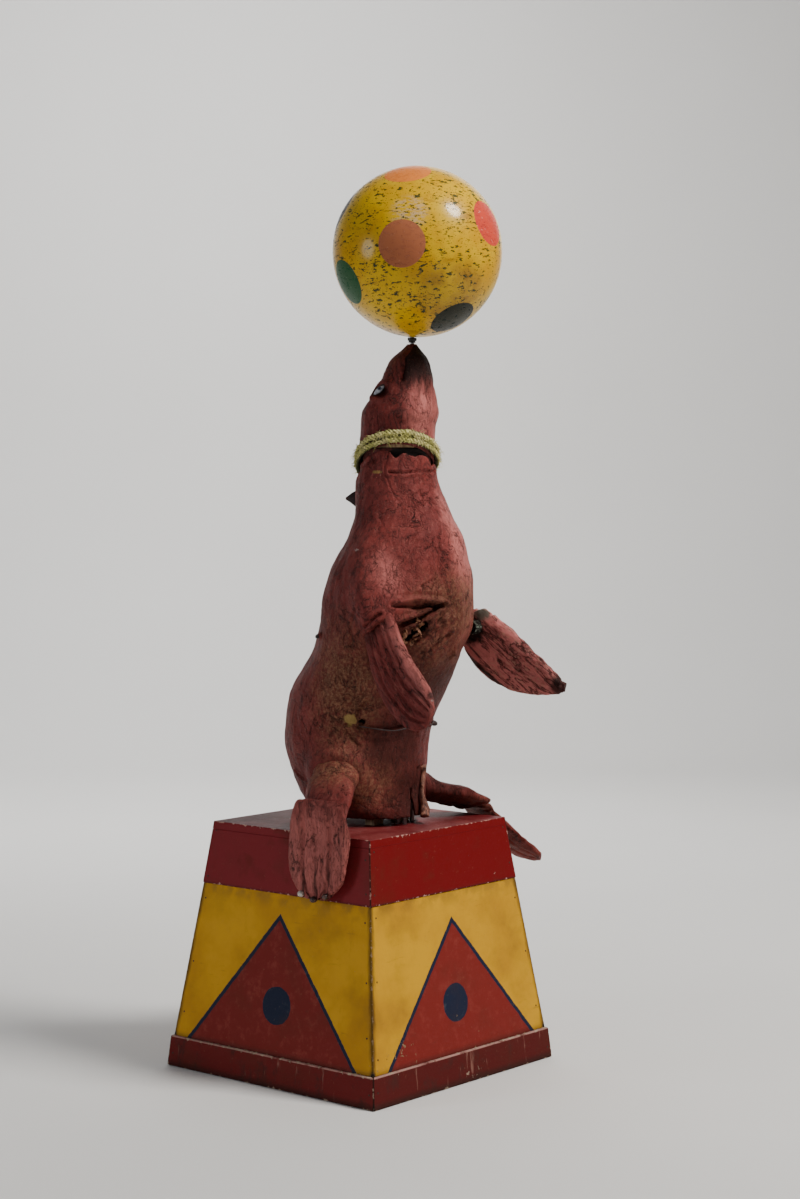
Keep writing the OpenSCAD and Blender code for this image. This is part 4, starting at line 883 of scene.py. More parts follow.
strip_rows = np.linspace(0, 1, 60)
strip_centre = np.array(
    [on_body(104 - 90 * s, -72 - 2.5 * s + 1.6 * math.sin(9 * s), 0.002) for s in strip_rows]
)
strip_centre[:, 1] -= 0.01 * strip_rows**2
strip_wide = 0.0085 - 0.0045 * np.sin(np.pi * np.clip(strip_rows * 1.15, 0, 1))
strip = tube(strip_centre, strip_wide + 0.0016 * lumps(strip_centre, 0.011, 4), 18)
strip += 0.0022 * lumps(strip, 0.0075, 6)[..., None] * (1, 0.6, 0.4)
PEEL, PEEL_STRETCH = ((0.06, 0.016, 0.01), (0.34, 0.13, 0.075)), (1, 1, 0.35)
peeled_skin = two_tone(
    "peeled_skin", 0.0045, (0.36, 0.66), PEEL, (0.3, 0.5), 0.003,
    stretch=PEEL_STRETCH, detail=7.0, rough=0.72,
)
ringed_piece("peeled_strip", strip, "pedestal", peeled_skin, ends=BOTH)

tab_root = on_body(594, 112, -0.002)
tab_out = np.array((-0.35, 0.9, 0.1))
tab_rows = np.linspace(0, 1, 16)[:, None, None]
tab_turn = np.linspace(0, math.tau, 28, endpoint=False)[None, :, None]
tab_wide = 0.02 - 0.0168 * tab_rows
nape = (
    tab_root + tab_out * 0.024 * tab_rows - np.array((0, 0, 0.004)) * tab_rows**2
    + np.array((0.42, 0.18, 0.89)) * tab_wide * np.cos(tab_turn)
    + np.array((0.2, -0.1, -0.4)) * 0.0024 * np.sin(tab_turn)
)
nape += 0.0014 * lumps(nape, 0.01, 7)[..., None]
ringed_piece("nape_tab", nape, "pedestal", tarred_paper, ends=BOTH)

# Torn layers at the chest: curled orange-brown paper that lines the hole in the skin.
torn_rng = np.random.default_rng(7)
flakes = []
flake_r = 0.0014 + 0.0034 * np.sin(np.pi * np.linspace(0.1, 0.95, 7))
for k in range(34):
    a = torn_rng.uniform(0, math.tau)
    away = torn_rng.uniform(0.7, 1.1)
    rise_mm = 357 + 20 * away * math.sin(a) - 3
    turn_deg = -126 + 5.0 * away * math.cos(a) + 4.0 * math.sin(a)
    start = on_body(rise_mm, turn_deg, -0.01 + torn_rng.uniform(-0.003, 0.004))
    lean = torn_rng.normal(size=3) * (0.006, 0.003, 0.007)
    t = np.linspace(0, 1, 7)[:, None]
    curl = start + (on_body(rise_mm, turn_deg, 0.001) - start) * t + lean * t**2
    flake = tube(curl, flake_r * torn_rng.uniform(0.6, 1.3), 8)
    flat = torn_rng.normal(size=3)
    flat /= np.linalg.norm(flat)
    flake -= ((flake - curl[:, None]) @ flat)[..., None] * flat * 0.82
    flakes.append(flake + 0.0009 * lumps(flake, 0.004, k)[..., None])
TORN = ((0.07, 0.018, 0.01), (0.44, 0.19, 0.09))
torn_paper = two_tone(
    "torn_paper", 0.004, (0.35, 0.65), TORN, (0.25, 0.55), 0.002, detail=6.0, rough=0.7
)
many_tubes("torn_layers", flakes, "pedestal", torn_paper)

# Hind limbs: each ankle grows out of the body skin and carries a flat paddle that hangs
# over the cap. Solid papier mache, with grooves pressed in for the toes.
# Each station is a place in mm, from the middle of the cap's top, and half the width and
# half the thickness there.
NEAR_ANKLE = (
    (-60, -20, 106, 45, 42), (-98, -38, 101, 45, 38), (-132, -55, 90, 45, 33),
    (-166, -74, 70, 47, 27), (-188, -86, 47, 50, 19), (-200, -91, 28, 50, 12),
    (-206, -92, 12, 44, 5),
)
NEAR_TAIL = (
    (-212, -92, 64, 36, 5), (-213, -92, 60, 50, 8), (-213, -92, 52, 57, 11),
    (-213, -92, 30, 64, 12), (-211, -92, 0, 69, 12), (-216, -92, -40, 68, 11),
    (-219, -92, -75, 60, 9.5), (-220, -92, -96, 44, 8), (-221, -92, -110, 24, 5),
)
FAR_ANKLE = (
    (76, -62, 66, 32, 28), (110, -84, 46, 32, 19), (140, -102, 38, 36, 18), (160, -112, 33, 38, 17),
    (178, -117, 25, 40, 13), (192, -119, 19, 40, 9),
)
FAR_TAIL = (
    (190, -119, 20, 38, 8), (204, -118, 8, 40, 8), (222, -124, -12, 44, 8), (249, -141, -44, 47, 8),
    (272, -161, -68, 44, 7), (285, -182, -80, 30, 6), (291, -198, -86, 14, 4),
)


def limb(stations, side, square, steps=14, columns=128):
    """Rings of a limb, with each point's share of the width and of the thickness."""
    s = through(stations, steps) * 0.001
    along = np.gradient(s[:, :3], axis=0)
    along /= np.linalg.norm(along, axis=-1, keepdims=True)
    across = np.array(side) - along * (along @ np.array(side))[:, None]
    across /= np.linalg.norm(across, axis=-1, keepdims=True)
    out = np.cross(along, across)
    a = np.linspace(0, math.tau, columns, endpoint=False)
    u = np.sign(np.cos(a)) * np.abs(np.cos(a)) ** (2 / square)
    v = np.sign(np.sin(a)) * np.abs(np.sin(a)) ** (2 / square)
    wide, thick = s[:, 3, None, None] * u[:, None], s[:, 4, None, None] * v[:, None]
    return s[:, None, :3] + across[:, None] * wide + out[:, None] * thick, u, v


def pressed(rings, u, lines, width, depth, start, stop):
    """Lengthwise grooves at shares of the width, over part of the length."""
    share = np.linspace(0, 1, len(rings))[:, None]
    fade = np.clip((share - start) / 0.12, 0, 1) * np.clip((stop - share) / 0.06, 0, 1)
    wander = 0.05 * lumps(rings[:, :1], 0.06, 3)
    dip = sum(bell(u - line - wander, width) for line in lines)
    return rings - outward(rings) * (depth * dip * fade)[..., None]


def lumpy(rings, *sets):
    """Rings pushed out and in by lumps, each set given as height, size and seed."""
    return rings + outward(rings) * sum(h * lumps(rings, size, n) for h, size, n in sets)[..., None]


def over_cap(stations):
    """Stations given over the pedestal's top, moved up to it."""
    return [(x, y, z + 1000 * PED_TOP, wide, thick) for x, y, z, wide, thick in stations]


SIDEWAYS, FAR_SIDE = (0, -1, 0), (0.5, 0.76, -0.41)
limb_hide = Finish("limb_hide")
limb_wear = near_to(limb_hide, (-0.222, -0.092, 0.42), (0.05, 0.1, 0.085), 0.5)
root_wear = near_to(limb_hide, (-0.14, -0.06, 0.56), (0.05, 0.06, 0.04), 0.6)
far_shade = near_to(limb_hide, (0.11, -0.08, 0.5), (0.08, 0.06, 0.045), 0.5) * 0.5
far_wear = near_to(limb_hide, (0.2, -0.12, 0.46), (0.12, 0.06, 0.03), 0.6)
# Painted shade in the grooves between the near tail's toes.
toe_gaps = 0.0
for toe_y in (-0.0668, -0.0956, -0.122):
    waver = (limb_hide.noise(0.03) - 0.5) * 0.008
    toe_gaps = abs(limb_hide.y - toe_y + waver).under(0.0008, 0.0042) + toe_gaps
toe_gaps = toe_gaps * limb_hide.z.under(0.385, 0.44) * limb_hide.x.under(-0.2, -0.19) * 0.7
limb_skin = paper_hide(
    limb_hide, limb_wear * 0.75, far_shade.most(toe_gaps),
    rubbed=(far_wear * 0.5).most(root_wear * 0.9), grain=(1, 1, 0.35),
)


def hind_piece(name, node, rings, *sets):
    ringed_piece(name, lumpy(rings, *sets), "pedestal", limb_skin, node, ends=BOTH)


ankle, _, _ = limb(over_cap(NEAR_ANKLE), SIDEWAYS, 2.0, steps=12, columns=96)
hind_piece("near_ankle_skin", "near_ankle", ankle, (0.0022, 0.035, 2), (0.0012, 0.013, 3))
tail, u, _ = limb(over_cap(NEAR_TAIL), SIDEWAYS, 3.0)
tail = pressed(tail, u, (-0.42, 0.06, 0.5), 0.06, 0.0055, 0.3, 1.02)
tail = pressed(tail, u, (-0.18, 0.28), 0.035, 0.0016, 0.52, 0.97)
reach = np.clip((np.linspace(0, 1, len(tail)) - 0.8) / 0.2, 0, 1)[:, None] ** 2
tail[..., 2] += 0.0072 * reach * (np.abs(np.sin(np.pi * (u * 1.95 + 0.1))) < 0.42)
hind_piece("near_tail_skin", "near_tail_flipper", tail, (0.0018, 0.03, 4), (0.0009, 0.01, 5))
ankle, _, v = limb(over_cap(FAR_ANKLE), FAR_SIDE, 2.2, steps=12, columns=96)
ankle = pressed(ankle, v, (-0.98,), 0.25, 0.006, 0.15, 0.9)
hind_piece("far_ankle_skin", "far_ankle", ankle, (0.002, 0.03, 6), (0.0012, 0.011, 7))
tail, u, _ = limb(over_cap(FAR_TAIL), FAR_SIDE, 2.6, columns=96)
tail = pressed(tail, u, (-0.35, 0.25), 0.07, 0.0025, 0.25, 0.98)
hind_piece("far_tail_skin", "far_tail_flipper", tail, (0.002, 0.024, 8), (0.001, 0.009, 9))

# Claws: drops of hard gesso at the tips of the near tail, one rubbed white.
DARK_CLAW = ((0.02, 0.009, 0.008), (0.14, 0.06, 0.045))
WHITE_CLAW = ((0.66, 0.62, 0.55), (0.3, 0.22, 0.18))
dark_claw = two_tone("dark_claw", 0.003, (0.4, 0.7), DARK_CLAW, (0.3, 0.25), 0.0006, detail=5.0)
white_claw = two_tone("white_claw", 0.003, (0.35, 0.7), WHITE_CLAW, (0.3, 0.25), 0.0006, detail=5.0)
CLAWS = (
    ("claw_white", -0.062, 0.35, 0.0062, white_claw),
    ("claw_mid", -0.092, 0.343, 0.007, dark_claw),
    ("claw_outer", -0.12, 0.351, 0.006, dark_claw),
)
for name, y, z, size, finish in CLAWS:
    steps = np.linspace(-0.98, 0.98, 13)
    claw_path = np.array((-0.228, y, z)) + steps[:, None] * (0.0006, 0, -0.0056)
    claw = tube(claw_path, size * np.sqrt(1 - steps**2), 16)
    ringed_piece(name, claw, "pedestal", finish, ends=BOTH)

# Front flippers: stiff paddles on the axles that the lifting rod turns. The near one shows
# its smooth grooved face, the far one its rough inner face and the seam along its edge.
# Each station is how far from the axle, where the middle lies across, and the half sizes.
NEAR_PADDLE = (
    (-41, 4, 8, 3), (-37, 4, 20, 7), (-27, 4, 31, 9), (-12, 4, 38, 10), (2, 3, 40, 11),
    (40, -8, 44, 12), (90, -16, 49, 11), (140, -12, 48, 9), (170, -4, 43, 8), (190, 4, 31, 6),
    (200, 9, 17, 4),
)
FAR_PADDLE = (
    (-34, 10, 14, 4), (-28, 6, 29, 8), (-14, 0, 40, 10), (0, -6, 45, 11), (40, -13, 53, 12),
    (80, -11, 52, 11), (120, -4, 44, 9), (160, 9, 30, 8), (185, 19, 18, 6), (200, 28, 8, 4),
)
SPLAY, NEAR, FAR = 10, (-1, 45), (1, 40)  # degrees; side of the body and droop of each paddle


def flipper_place(side, droop):
    splay = Matrix.Rotation(math.radians(side * SPLAY), 3, "Z")
    turn = Matrix.Rotation(math.radians(droop), 3, "X") @ splay
    return turn, (side * SHOULDER[0], SHOULDER[1], SHOULDER[2])


def paddle_rings(stations):
    return limb([(0, -l, m, w, t) for l, m, w, t in stations], (0, 0, 1), 2.5)


def flipper_piece(node, rings, hung, finish):
    turn, at = flipper_place(*hung)
    rings = rings @ np.array(turn).T + at
    ringed_piece(node + "_skin", rings, node, finish, node, ends=BOTH)


def in_paddle(f, hung):
    """Makes a finish take its places along and across the paddle."""
    turn, at = flipper_place(*hung)
    feeds = {"Vector": f.place, "Location": at, "Rotation": tuple(turn.to_euler())}
    f.place = f.node("Mapping", {"vector_type": "TEXTURE"}, feeds)


flipper_hide = Finish("flipper_hide")
in_paddle(flipper_hide, NEAR)
# Painted highlight along the near paddle's front edge, and painted shade at its root where it meets
# the body.
edge_highlight = near_to(flipper_hide, (-0.01, -0.11, 0.03), (0.02, 0.11, 0.018), 0.7)
root_dark = near_to(flipper_hide, (0.0, 0.02, -0.02), (0.03, 0.03, 0.035), 0.5) * 0.6
flipper_skin = paper_hide(flipper_hide, edge_highlight * 0.9, root_dark, grain=(1, 0.3, 1))
tip_chip = near_to(flipper_hide, (-0.008, -0.184, 0.036), (0.012, 0.008, 0.007), 0.2, 0.006, 1.8)
tip_pit = near_to(flipper_hide, (-0.008, -0.176, 0.036), (0.012, 0.014, 0.009), 0.3, 0.008, 1.4)
over_paint(
    flipper_hide, (tip_pit * 0.9, (0.014, 0.006, 0.005)), (tip_chip * 0.8, (0.46, 0.42, 0.38))
)
paddle, u, _ = paddle_rings(NEAR_PADDLE)
paddle = pressed(paddle, u, (-0.5, -0.12, 0.28, 0.58), 0.055, 0.0042, 0.22, 0.97)
paddle = pressed(paddle, u, (-0.3, 0.08), 0.03, 0.0014, 0.35, 0.9)
bite = np.linalg.norm(paddle - (-0.006, -0.186, 0.034), axis=-1)
paddle -= outward(paddle) * (0.006 * bell(bite, 0.007))[..., None]
paddle = lumpy(paddle, (0.0016, 0.028, 2), (0.0009, 0.01, 3))
flipper_piece("near_flipper", paddle, NEAR, flipper_skin)

rough_hide = Finish("rough_flipper_hide")
in_paddle(rough_hide, FAR)
scab = rough_hide.noise(0.02, stretch=(1, 0.4, 1.2), detail=8.0, rough=0.74, bend=0.4)
pits = rough_hide.noise(0.006, stretch=(1, 0.6, 1), detail=6.0, rough=0.72, shift=(2, 8, 3))
scuffs = rough_hide.noise(0.04, stretch=(1, 0.5, 1), detail=4.0, shift=(9, 1, 4))
furrow = rough_hide.noise(
    0.022, stretch=(1, 0.25, 1.3), detail=6.0, rough=0.62, shift=(4, 4, 1), bend=0.4
)
furrow = abs(furrow - 0.5).under(0.002, 0.03)
tip_dark = near_to(rough_hide, (0.0, -0.196, 0.028), (0.03, 0.024, 0.026), 0.4, 0.012)
seam = near_to(rough_hide, (-0.008, -0.06, -0.058), (0.022, 0.13, 0.005), 0.5, 0.012)
sleeve_paint = near_to(rough_hide, (-0.013, 0.012, 0.034), (0.012, 0.022, 0.022), 0.25, 0.012)
# Painted shade in the gap at the far paddle's root.
socket_gap = near_to(rough_hide, (-0.013, 0.006, -0.012), (0.012, 0.026, 0.026), 0.3, 0.012)
inner = rough_hide.coats(
    rough_hide.mix(scab.over(0.32, 0.52), (0.08, 0.016, 0.014), (0.54, 0.165, 0.15)),
    (pits.over(0.52, 0.64) * 0.65, (0.47, 0.23, 0.17)),
    (scuffs.over(0.62, 0.74) * 0.7, (0.025, 0.008, 0.006)),
    (furrow * 0.8, (0.026, 0.008, 0.006)),
    (tip_dark * 0.9, (0.018, 0.006, 0.005)),
    (seam * 0.85, (0.02, 0.007, 0.005)),
    (sleeve_paint * 0.9, (0.105, 0.115, 0.088)),
    (socket_gap * 0.95, (0.01, 0.006, 0.005)),
)
rough_flipper_skin = rough_hide.done(
    Base_Color=inner,
    Roughness=scab * 0.3 + pits * 0.2 + 0.24,
    Normal=rough_hide.bump(scab + pits * 0.6 - furrow * 0.4, 0.0032),
    Specular_IOR_Level=0.16,
)
paddle, u, v = paddle_rings(FAR_PADDLE)
share = np.linspace(0, 1, len(paddle))[:, None]
rim_line = np.abs(u + 0.8) + 2.0 * (v > 0.2)
paddle -= outward(paddle) * (0.003 * bell(rim_line, 0.05) * (share > 0.12))[..., None]
GASH = [(-0.011, -0.1, 0.012), (-0.011, -0.132, 0.006), (-0.01, -0.158, 0.01)]
paddle -= outward(paddle) * (0.0045 * bell(from_path(paddle, GASH), 0.0055))[..., None]
frayed = 0.003 * (share > 0.93)
paddle = lumpy(paddle, (0.0013, 0.02, 4), (0.001, 0.008, 5), (frayed, 0.006, 6))
flipper_piece("far_flipper", paddle, FAR, rough_flipper_skin)

# Sleeve of the far arm: a scrap of grey-green cloth gathered round the axle where the arm
# leaves the body, stiff with old paint and glue.
CUFF_START, CUFF_END, CUFF_R, CLOTH = 0.1125, 0.13, 0.0115, 0.0008
cuff_x = np.linspace(CUFF_START, CUFF_END, 26)[:, None]
cuff_turn = np.linspace(0, math.tau, 120, endpoint=False)[None, :]
gathers = 0.0009 * np.sin(11 * cuff_turn + 40 * cuff_x) + 0.0005 * np.sin(23 * cuff_turn + 2)
along_cuff = (cuff_x - CUFF_START) / (CUFF_END - CUFF_START)
cuff_r = CUFF_R + gathers + 0.0012 * np.cos(along_cuff * math.tau)
cuff_y, cuff_z = SHOULDER[1] + cuff_r * np.cos(cuff_turn), SHOULDER[2] + cuff_r * np.sin(cuff_turn)
cuff = np.stack((cuff_x + 0 * cuff_turn, cuff_y, cuff_z), -1)
cuff_cloth = Finish("painted_cloth")
weft = cuff_cloth.noise(0.0016, stretch=(3, 1, 1), detail=4.0)
stain = cuff_cloth.noise(0.009, detail=5.0, rough=0.65)
painted_cloth = cuff_cloth.done(
    Base_Color=cuff_cloth.mix(stain.over(0.36, 0.52), (0.12, 0.132, 0.104), (0.016, 0.012, 0.01)),
    Roughness=weft * 0.2 + 0.8, Specular_IOR_Level=0.1,
    Normal=cuff_cloth.bump(weft + stain * 1.5, 0.0007),
)
far_cuff = ringed_piece(
    "far_cuff_cloth", cuff, "far_flipper", painted_cloth, "far_cuff", wall=CLOTH
)

# Head: a tapering skin of the same paper over a turned core, its snout to the sky. The
# mouth is a pressed line on each side, and the lower jaw is darkened nearly black: painted shadow
# of the ball.
HEAD_OUTLINE = [  # height over the pedestal, middle in Y and radius, in mm
    (600, -92, 67.5), (650, -92, 67.5), (690, -92, 67.5), (722, -93, 67.5), (745, -98, 69),
    (765, -104, 61), (790, -112, 51), (818, -121, 41), (843, -126, 30), (858, -127, 18),
    (870, -128, 8),
]
HEAD_COLUMNS, HEAD_ROWS, SKIRT_R, HEAD_TOP = 256, 200, 0.0675, 0.8695
head_curve = through(HEAD_OUTLINE, 12) * 0.001
angle = np.linspace(0, math.tau, HEAD_COLUMNS, endpoint=False)
degrees = (np.degrees(angle) + 180) % 360 - 180
# the skirt ends higher at the back near side, so that it clears the body's rim as it turns
skirt_drop = 0.011 - 0.0075 * eased_step((60 - np.abs(turn_from(degrees, 128))) / 16)
skirt = tilted_plane(SKIRT_R * np.cos(angle), NECK_Y + SKIRT_R * np.sin(angle), skirt_drop)
skirt = skirt - PED_TOP
share = np.linspace(0, 1, HEAD_ROWS)[:, None]
rise = skirt + (HEAD_TOP - skirt) * share
radius = np.interp(rise, head_curve[:, 0], head_curve[:, 2])
centre = np.interp(rise, head_curve[:, 0], head_curve[:, 1])
head = np.stack((radius * np.cos(angle), centre + radius * np.sin(angle), PED_TOP + rise), -1)
normal = outward(head)
EYE = np.array((0.044, -0.092, 1.236))
MOUTH = np.array(
    ((0.007, -0.134, 1.316), (0.016, -0.136, 1.307), (0.03, -0.139, 1.284), (0.04, -0.139, 1.258))
)
DIMPLES = (  # place, stretch, width and height: brow, outer corner, cheek, nostril
    ((0.058, -0.078, 1.214), (1, 0.7, 1.4), 0.014, 0.003),
    ((0.0555, -0.088, 1.228), (1, 1, 1), 0.011, 0.0045),
    ((0.03, -0.155, 1.212), (1, 1, 0.6), 0.022, 0.004),
    ((0.011, -0.117, 1.309), (1, 1, 1), 0.0038, -0.003),
)


def off_head(at, stretch):
    return np.linalg.norm((head - at) * stretch, axis=-1)


relief = 0.0022 * lumps(head, 0.05, 21) + 0.0012 * lumps(head, 0.021, 22)
relief += 0.0006 * lumps(head, 0.009, 23)
for side in (-1, 1):
    flip = np.array((side, 1, 1))
    d = from_path(head, MOUTH * flip)
    relief -= 0.0052 * bell(d, 0.0036) - 0.0018 * bell(d - 0.008, 0.005)
    d = off_head(EYE * flip + (side * 0.008, -0.008, 0), (1, 0.8, 1.05))
    relief -= 0.0065 * bell(d, 0.012, 4) - 0.0036 * bell(d - 0.0195, 0.0052)
    for at, stretch, wide, high in DIMPLES:
        relief += high * bell(off_head(at * flip, stretch), wide)
relief += 0.005 * bell(rise - 0.84, 0.02) * bell(turn_from(degrees, 130), 55)
relief -= 0.0035 * bell(turn_from(degrees, -90), 55, 4) * bell(rise - 0.835, 0.03)
relief -= 0.0026 * bell(off_head((-0.052, -0.12, 1.2), (1, 1, 0.4)), 0.007)
free = np.clip((0.866 - rise) / 0.03, 0, 1)
head = head + normal * (relief * free)[..., None]

head_hide = Finish("head_hide")
# Painted shadow of the ball: the lower jaw darkened nearly black, with a ragged edge.
jaw_grain = head_hide.noise(0.012, stretch=(1, 1, 0.25), detail=6.0, rough=0.65) - 0.5
jaw_side = (head_hide.y.under(-0.1405, -0.1345) + jaw_grain * 0.7).over(0.42, 0.62)
jaw_shadow = jaw_side * (head_hide.z + jaw_grain * 0.06).over(1.226, 1.272)
snout = near_to(head_hide, (0.0, -0.105, 1.29), (0.05, 0.03, 0.045), 0.5)
# Painted shadow of the ball on the front of the snout.
snout_dark = near_to(head_hide, (0.0, -0.125, 1.305), (0.05, 0.05, 0.035), 0.6) * 0.4
# Painted highlights on the near and far cheeks.
cheek_highlight = near_to(head_hide, (-0.012, -0.165, 1.195), (0.03, 0.03, 0.06), 0.75)
far_cheek_highlight = near_to(head_hide, (0.04, -0.15, 1.19), (0.03, 0.03, 0.05), 0.75)
dark_spot = near_to(head_hide, (-0.033, -0.104, 1.279), (0.005, 0.005, 0.004), 0.3)
sockets = [
    near_to(head_hide, (x, -0.102, 1.2345), (0.01, 0.015, 0.009), 0.16) for x in (-0.052, 0.052)
]
socket_dark = sockets[0].most(sockets[1])
head_skin = paper_hide(
    head_hide,
    pale=cheek_highlight.most(far_cheek_highlight),
    dark=jaw_shadow.most(dark_spot).most(socket_dark * 0.35).most(snout_dark),
    rubbed=snout * 0.35,
    grain=(1, 1, 0.5),
)
ringed_piece("head_skin_paper", head, "head", head_skin, "head_skin", wall=0.0034)

# Eyes: glass lenses set in the sockets, white with a grey-blue ring and a black pupil, and
# a black lid line of tarred thread round each.
EYE_LONG, EYE_HIGH, EYE_PLUG = 0.008 * 1.66, 0.008 * 0.66, 0.009
GREYISH, VEINED = (0.5, 0.52, 0.58), (0.13, 0.12, 0.15)


def almond(turn, longer=1.0, higher=1.0):
    """How far along the lid and how far up it the eye's edge lies."""
    up = np.sin(turn) * np.abs(np.sin(turn)) ** 0.4
    return longer * EYE_LONG * np.cos(turn), higher * EYE_HIGH * up


for side, which in ((-1, "near"), (1, "far")):
    look = np.array((side * 0.9, -0.36, 0.24))
    look /= np.linalg.norm(look)
    middle = EYE * (side, 1, 1) + look * 0.0105
    level = np.array((0.43, side * 0.64, -side * 0.63))
    level -= look * (look @ level)
    level /= np.linalg.norm(level)
    upright = np.cross(look, level)
    lens_rows = np.linspace(0, 1, 26)[:, None, None] ** 0.8
    lens_turn = np.linspace(0, math.tau, 64, endpoint=False)[None, :, None]
    bow = np.sqrt(np.clip(1 - lens_rows**2, 0, 1))
    along, up = almond(lens_turn)
    lens = middle + look * (0.0052 * bow - 0.0014) + (level * along + upright * up) * lens_rows
    lens = lens[::-1]
    plug = lens[0] - look * np.linspace(EYE_PLUG, 0.001, 5)[:, None, None]
    lens = np.concatenate((plug, lens))
    glass = Finish("eye_glass_" + which)
    off = glass.vector("SUBTRACT", glass.place, tuple(middle))
    along_lid = glass.vector("DOT_PRODUCT", off, tuple(level), out="Value")
    up_lid = glass.vector("DOT_PRODUCT", off, tuple(upright), out="Value")
    from_pupil = ((along_lid + side * 0.003) ** 2.0 + (up_lid - 0.001) ** 2.0) ** 0.5
    veins = glass.noise(0.004, detail=5.0, rough=0.7)
    edge = (abs(along_lid) / EYE_LONG) ** 1.6 + (abs(up_lid) / EYE_HIGH) ** 2.0
    lined = glass.coats(
        glass.mix(veins.over(0.42, 0.64), GREYISH, VEINED),
        (from_pupil.under(0.0032, 0.0044), (0.085, 0.1, 0.145)),
        (from_pupil.under(0.0016, 0.0024), (0.004, 0.004, 0.006)),
        (edge.over(0.78, 0.96), (0.004, 0.003, 0.003)),
    )
    finish = glass.done(
        Base_Color=lined, Roughness=veins * 0.06 + 0.07, Coat_Weight=0.6, Coat_Roughness=0.05,
        Normal=glass.bump(veins, 0.0002),
    )
    ringed_piece("eye_" + which, lens, "head", finish, "eyes", ends=(False, True))
    lid_turn = np.linspace(0, math.tau, 73)[:, None]
    along, up = almond(lid_turn, 1.08, 1.1)
    proud = 0.0006 + 0.0012 * np.abs(np.cos(lid_turn))
    lid_r = 0.0009 + 0.0003 * np.sin(3 * lid_turn[:, 0])
    lid = tube(middle + look * proud + level * along + upright * up, lid_r, 8)
    ringed_piece("lid_eye_" + which, lid, "head", tarred_paper, ends=BOTH)

# Rope collar: two turns of three-strand sisal bound round the neck seam, dyed yellow-green,
# flattened, furred all over and fraying into a fringe.
ROPE_LINE_R, ROPE_PITCH, ROPE_START, ROPE_TURNS = 0.073, 0.0128, 58, 2.0
DOWN = np.array((0, 0, -1.0))
rope_share = np.linspace(0, 1, 720)
rope_turn = np.radians(ROPE_START + 360 * ROPE_TURNS * rope_share)
rope_drop = ROPE_PITCH * (ROPE_TURNS * rope_share - 0.5 * ROPE_TURNS)
tucked = bell(np.minimum(rope_share, 1 - rope_share), 0.018)
rope_drop = rope_drop * (1 - 0.6 * tucked)
rope_line_r = ROPE_LINE_R - 0.006 * tucked
rope_x, rope_y = rope_line_r * np.cos(rope_turn), rope_line_r * np.sin(rope_turn) + NECK_Y
rope_z = tilted_plane(rope_x, rope_y, 0.0) + rope_drop
rope_line = np.stack((rope_x, rope_y, rope_z), -1)
ply_turn = np.linspace(0, math.tau * 46, len(rope_line))
lay = np.gradient(rope_line, axis=0)
lay /= np.linalg.norm(lay, axis=-1, keepdims=True)
lay_in = np.stack((np.cos(rope_turn), np.sin(rope_turn), 0 * rope_turn), -1)
lay_in -= lay * (lay_in * lay).sum(-1, keepdims=True)
lay_in /= np.linalg.norm(lay_in, axis=-1, keepdims=True)
lay_up = np.cross(lay, lay_in)
strands = []
for ply in range(3):
    a = ply_turn + ply * math.tau / 3
    offset = 0.0029 * (lay_in * np.cos(a)[:, None] * 0.8 + lay_up * np.sin(a)[:, None] * 1.1)
    strand = rope_line + offset + 0.0005 * lumps(rope_line, 0.009, 30 + ply)[:, None]
    knot = 0.0013 * bell(np.degrees(rope_turn) - 596, 4)
    strands.append(tube(strand, 0.0025 + knot + 0.0004 * lumps(rope_line, 0.006, 33 + ply), 9))
fibre_rng = np.random.default_rng(11)
t = np.linspace(0, 1, 5)[:, None]
for k in range(620):
    i = fibre_rng.integers(4, len(rope_line) - 4)
    hang = fibre_rng.random() < 0.3
    out = lay_in[i] * fibre_rng.uniform(0.2, 1.0) + lay_up[i] * fibre_rng.uniform(-1.0, 1.0)
    out /= np.linalg.norm(out)
    start = rope_line[i] + out * 0.004
    way = lay[i] * fibre_rng.choice((-1, 1)) * fibre_rng.uniform(0.4, 1.0)
    way = way + out * fibre_rng.uniform(0.25, 0.8) + lay_in[i] * 0.25
    long = fibre_rng.uniform(0.004, 0.011)
    droop = DOWN * (fibre_rng.uniform(0.002, 0.008) if hang else 0.0006)
    strands.append(tube(start + way * long * t + droop * t**2, np.linspace(0.0006, 0.00018, 5), 4))
fringe_at = np.flatnonzero((rope_share > 0.52) & (np.abs(np.degrees(rope_turn) - 590) < 48))
for k in range(260):
    i = fibre_rng.choice(fringe_at)
    start = rope_line[i] + lay_in[i] * fibre_rng.uniform(-0.001, 0.004) - (0, 0, 0.004)
    way = lay[i] * fibre_rng.normal() * 0.5 + DOWN + lay_in[i] * fibre_rng.uniform(-0.3, 0.3)
    long = fibre_rng.uniform(0.002, 0.006)
    hair = start + way * long * t + lay[i] * 0.002 * t**2
    strands.append(tube(hair, np.linspace(0.0008, 0.0003, 5), 4))
sisal = Finish("sisal_rope")
hairs = sisal.noise(0.0028, detail=6.0, rough=0.72)
dye = sisal.noise(0.02, detail=5.0, rough=0.62, shift=(1, 5, 2))
dyed = sisal.mix(
    dye.over(0.36, 0.66),
    sisal.mix(hairs.over(0.38, 0.6), (0.19, 0.19, 0.03), (0.74, 0.69, 0.21)),
    sisal.mix(hairs.over(0.38, 0.6), (0.38, 0.33, 0.1), (0.9, 0.81, 0.4)),
)
# Painted shade: the rope darkened nearly black where it lies close to the neck, between its turns
# and plies.
from_neck = (sisal.x**2.0 + (sisal.y - NECK_Y) ** 2.0) ** 0.5
between = from_neck.under(0.0738, 0.0776)
sisal_rope = sisal.done(
    Base_Color=sisal.mix(between * 0.92, dyed, (0.022, 0.024, 0.006)),
    Roughness=hairs * 0.2 + 0.78,
    Normal=sisal.bump(hairs, 0.0012),
)
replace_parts(many_tubes("rope_strands", strands, "head", sisal_rope), "rope_collar")

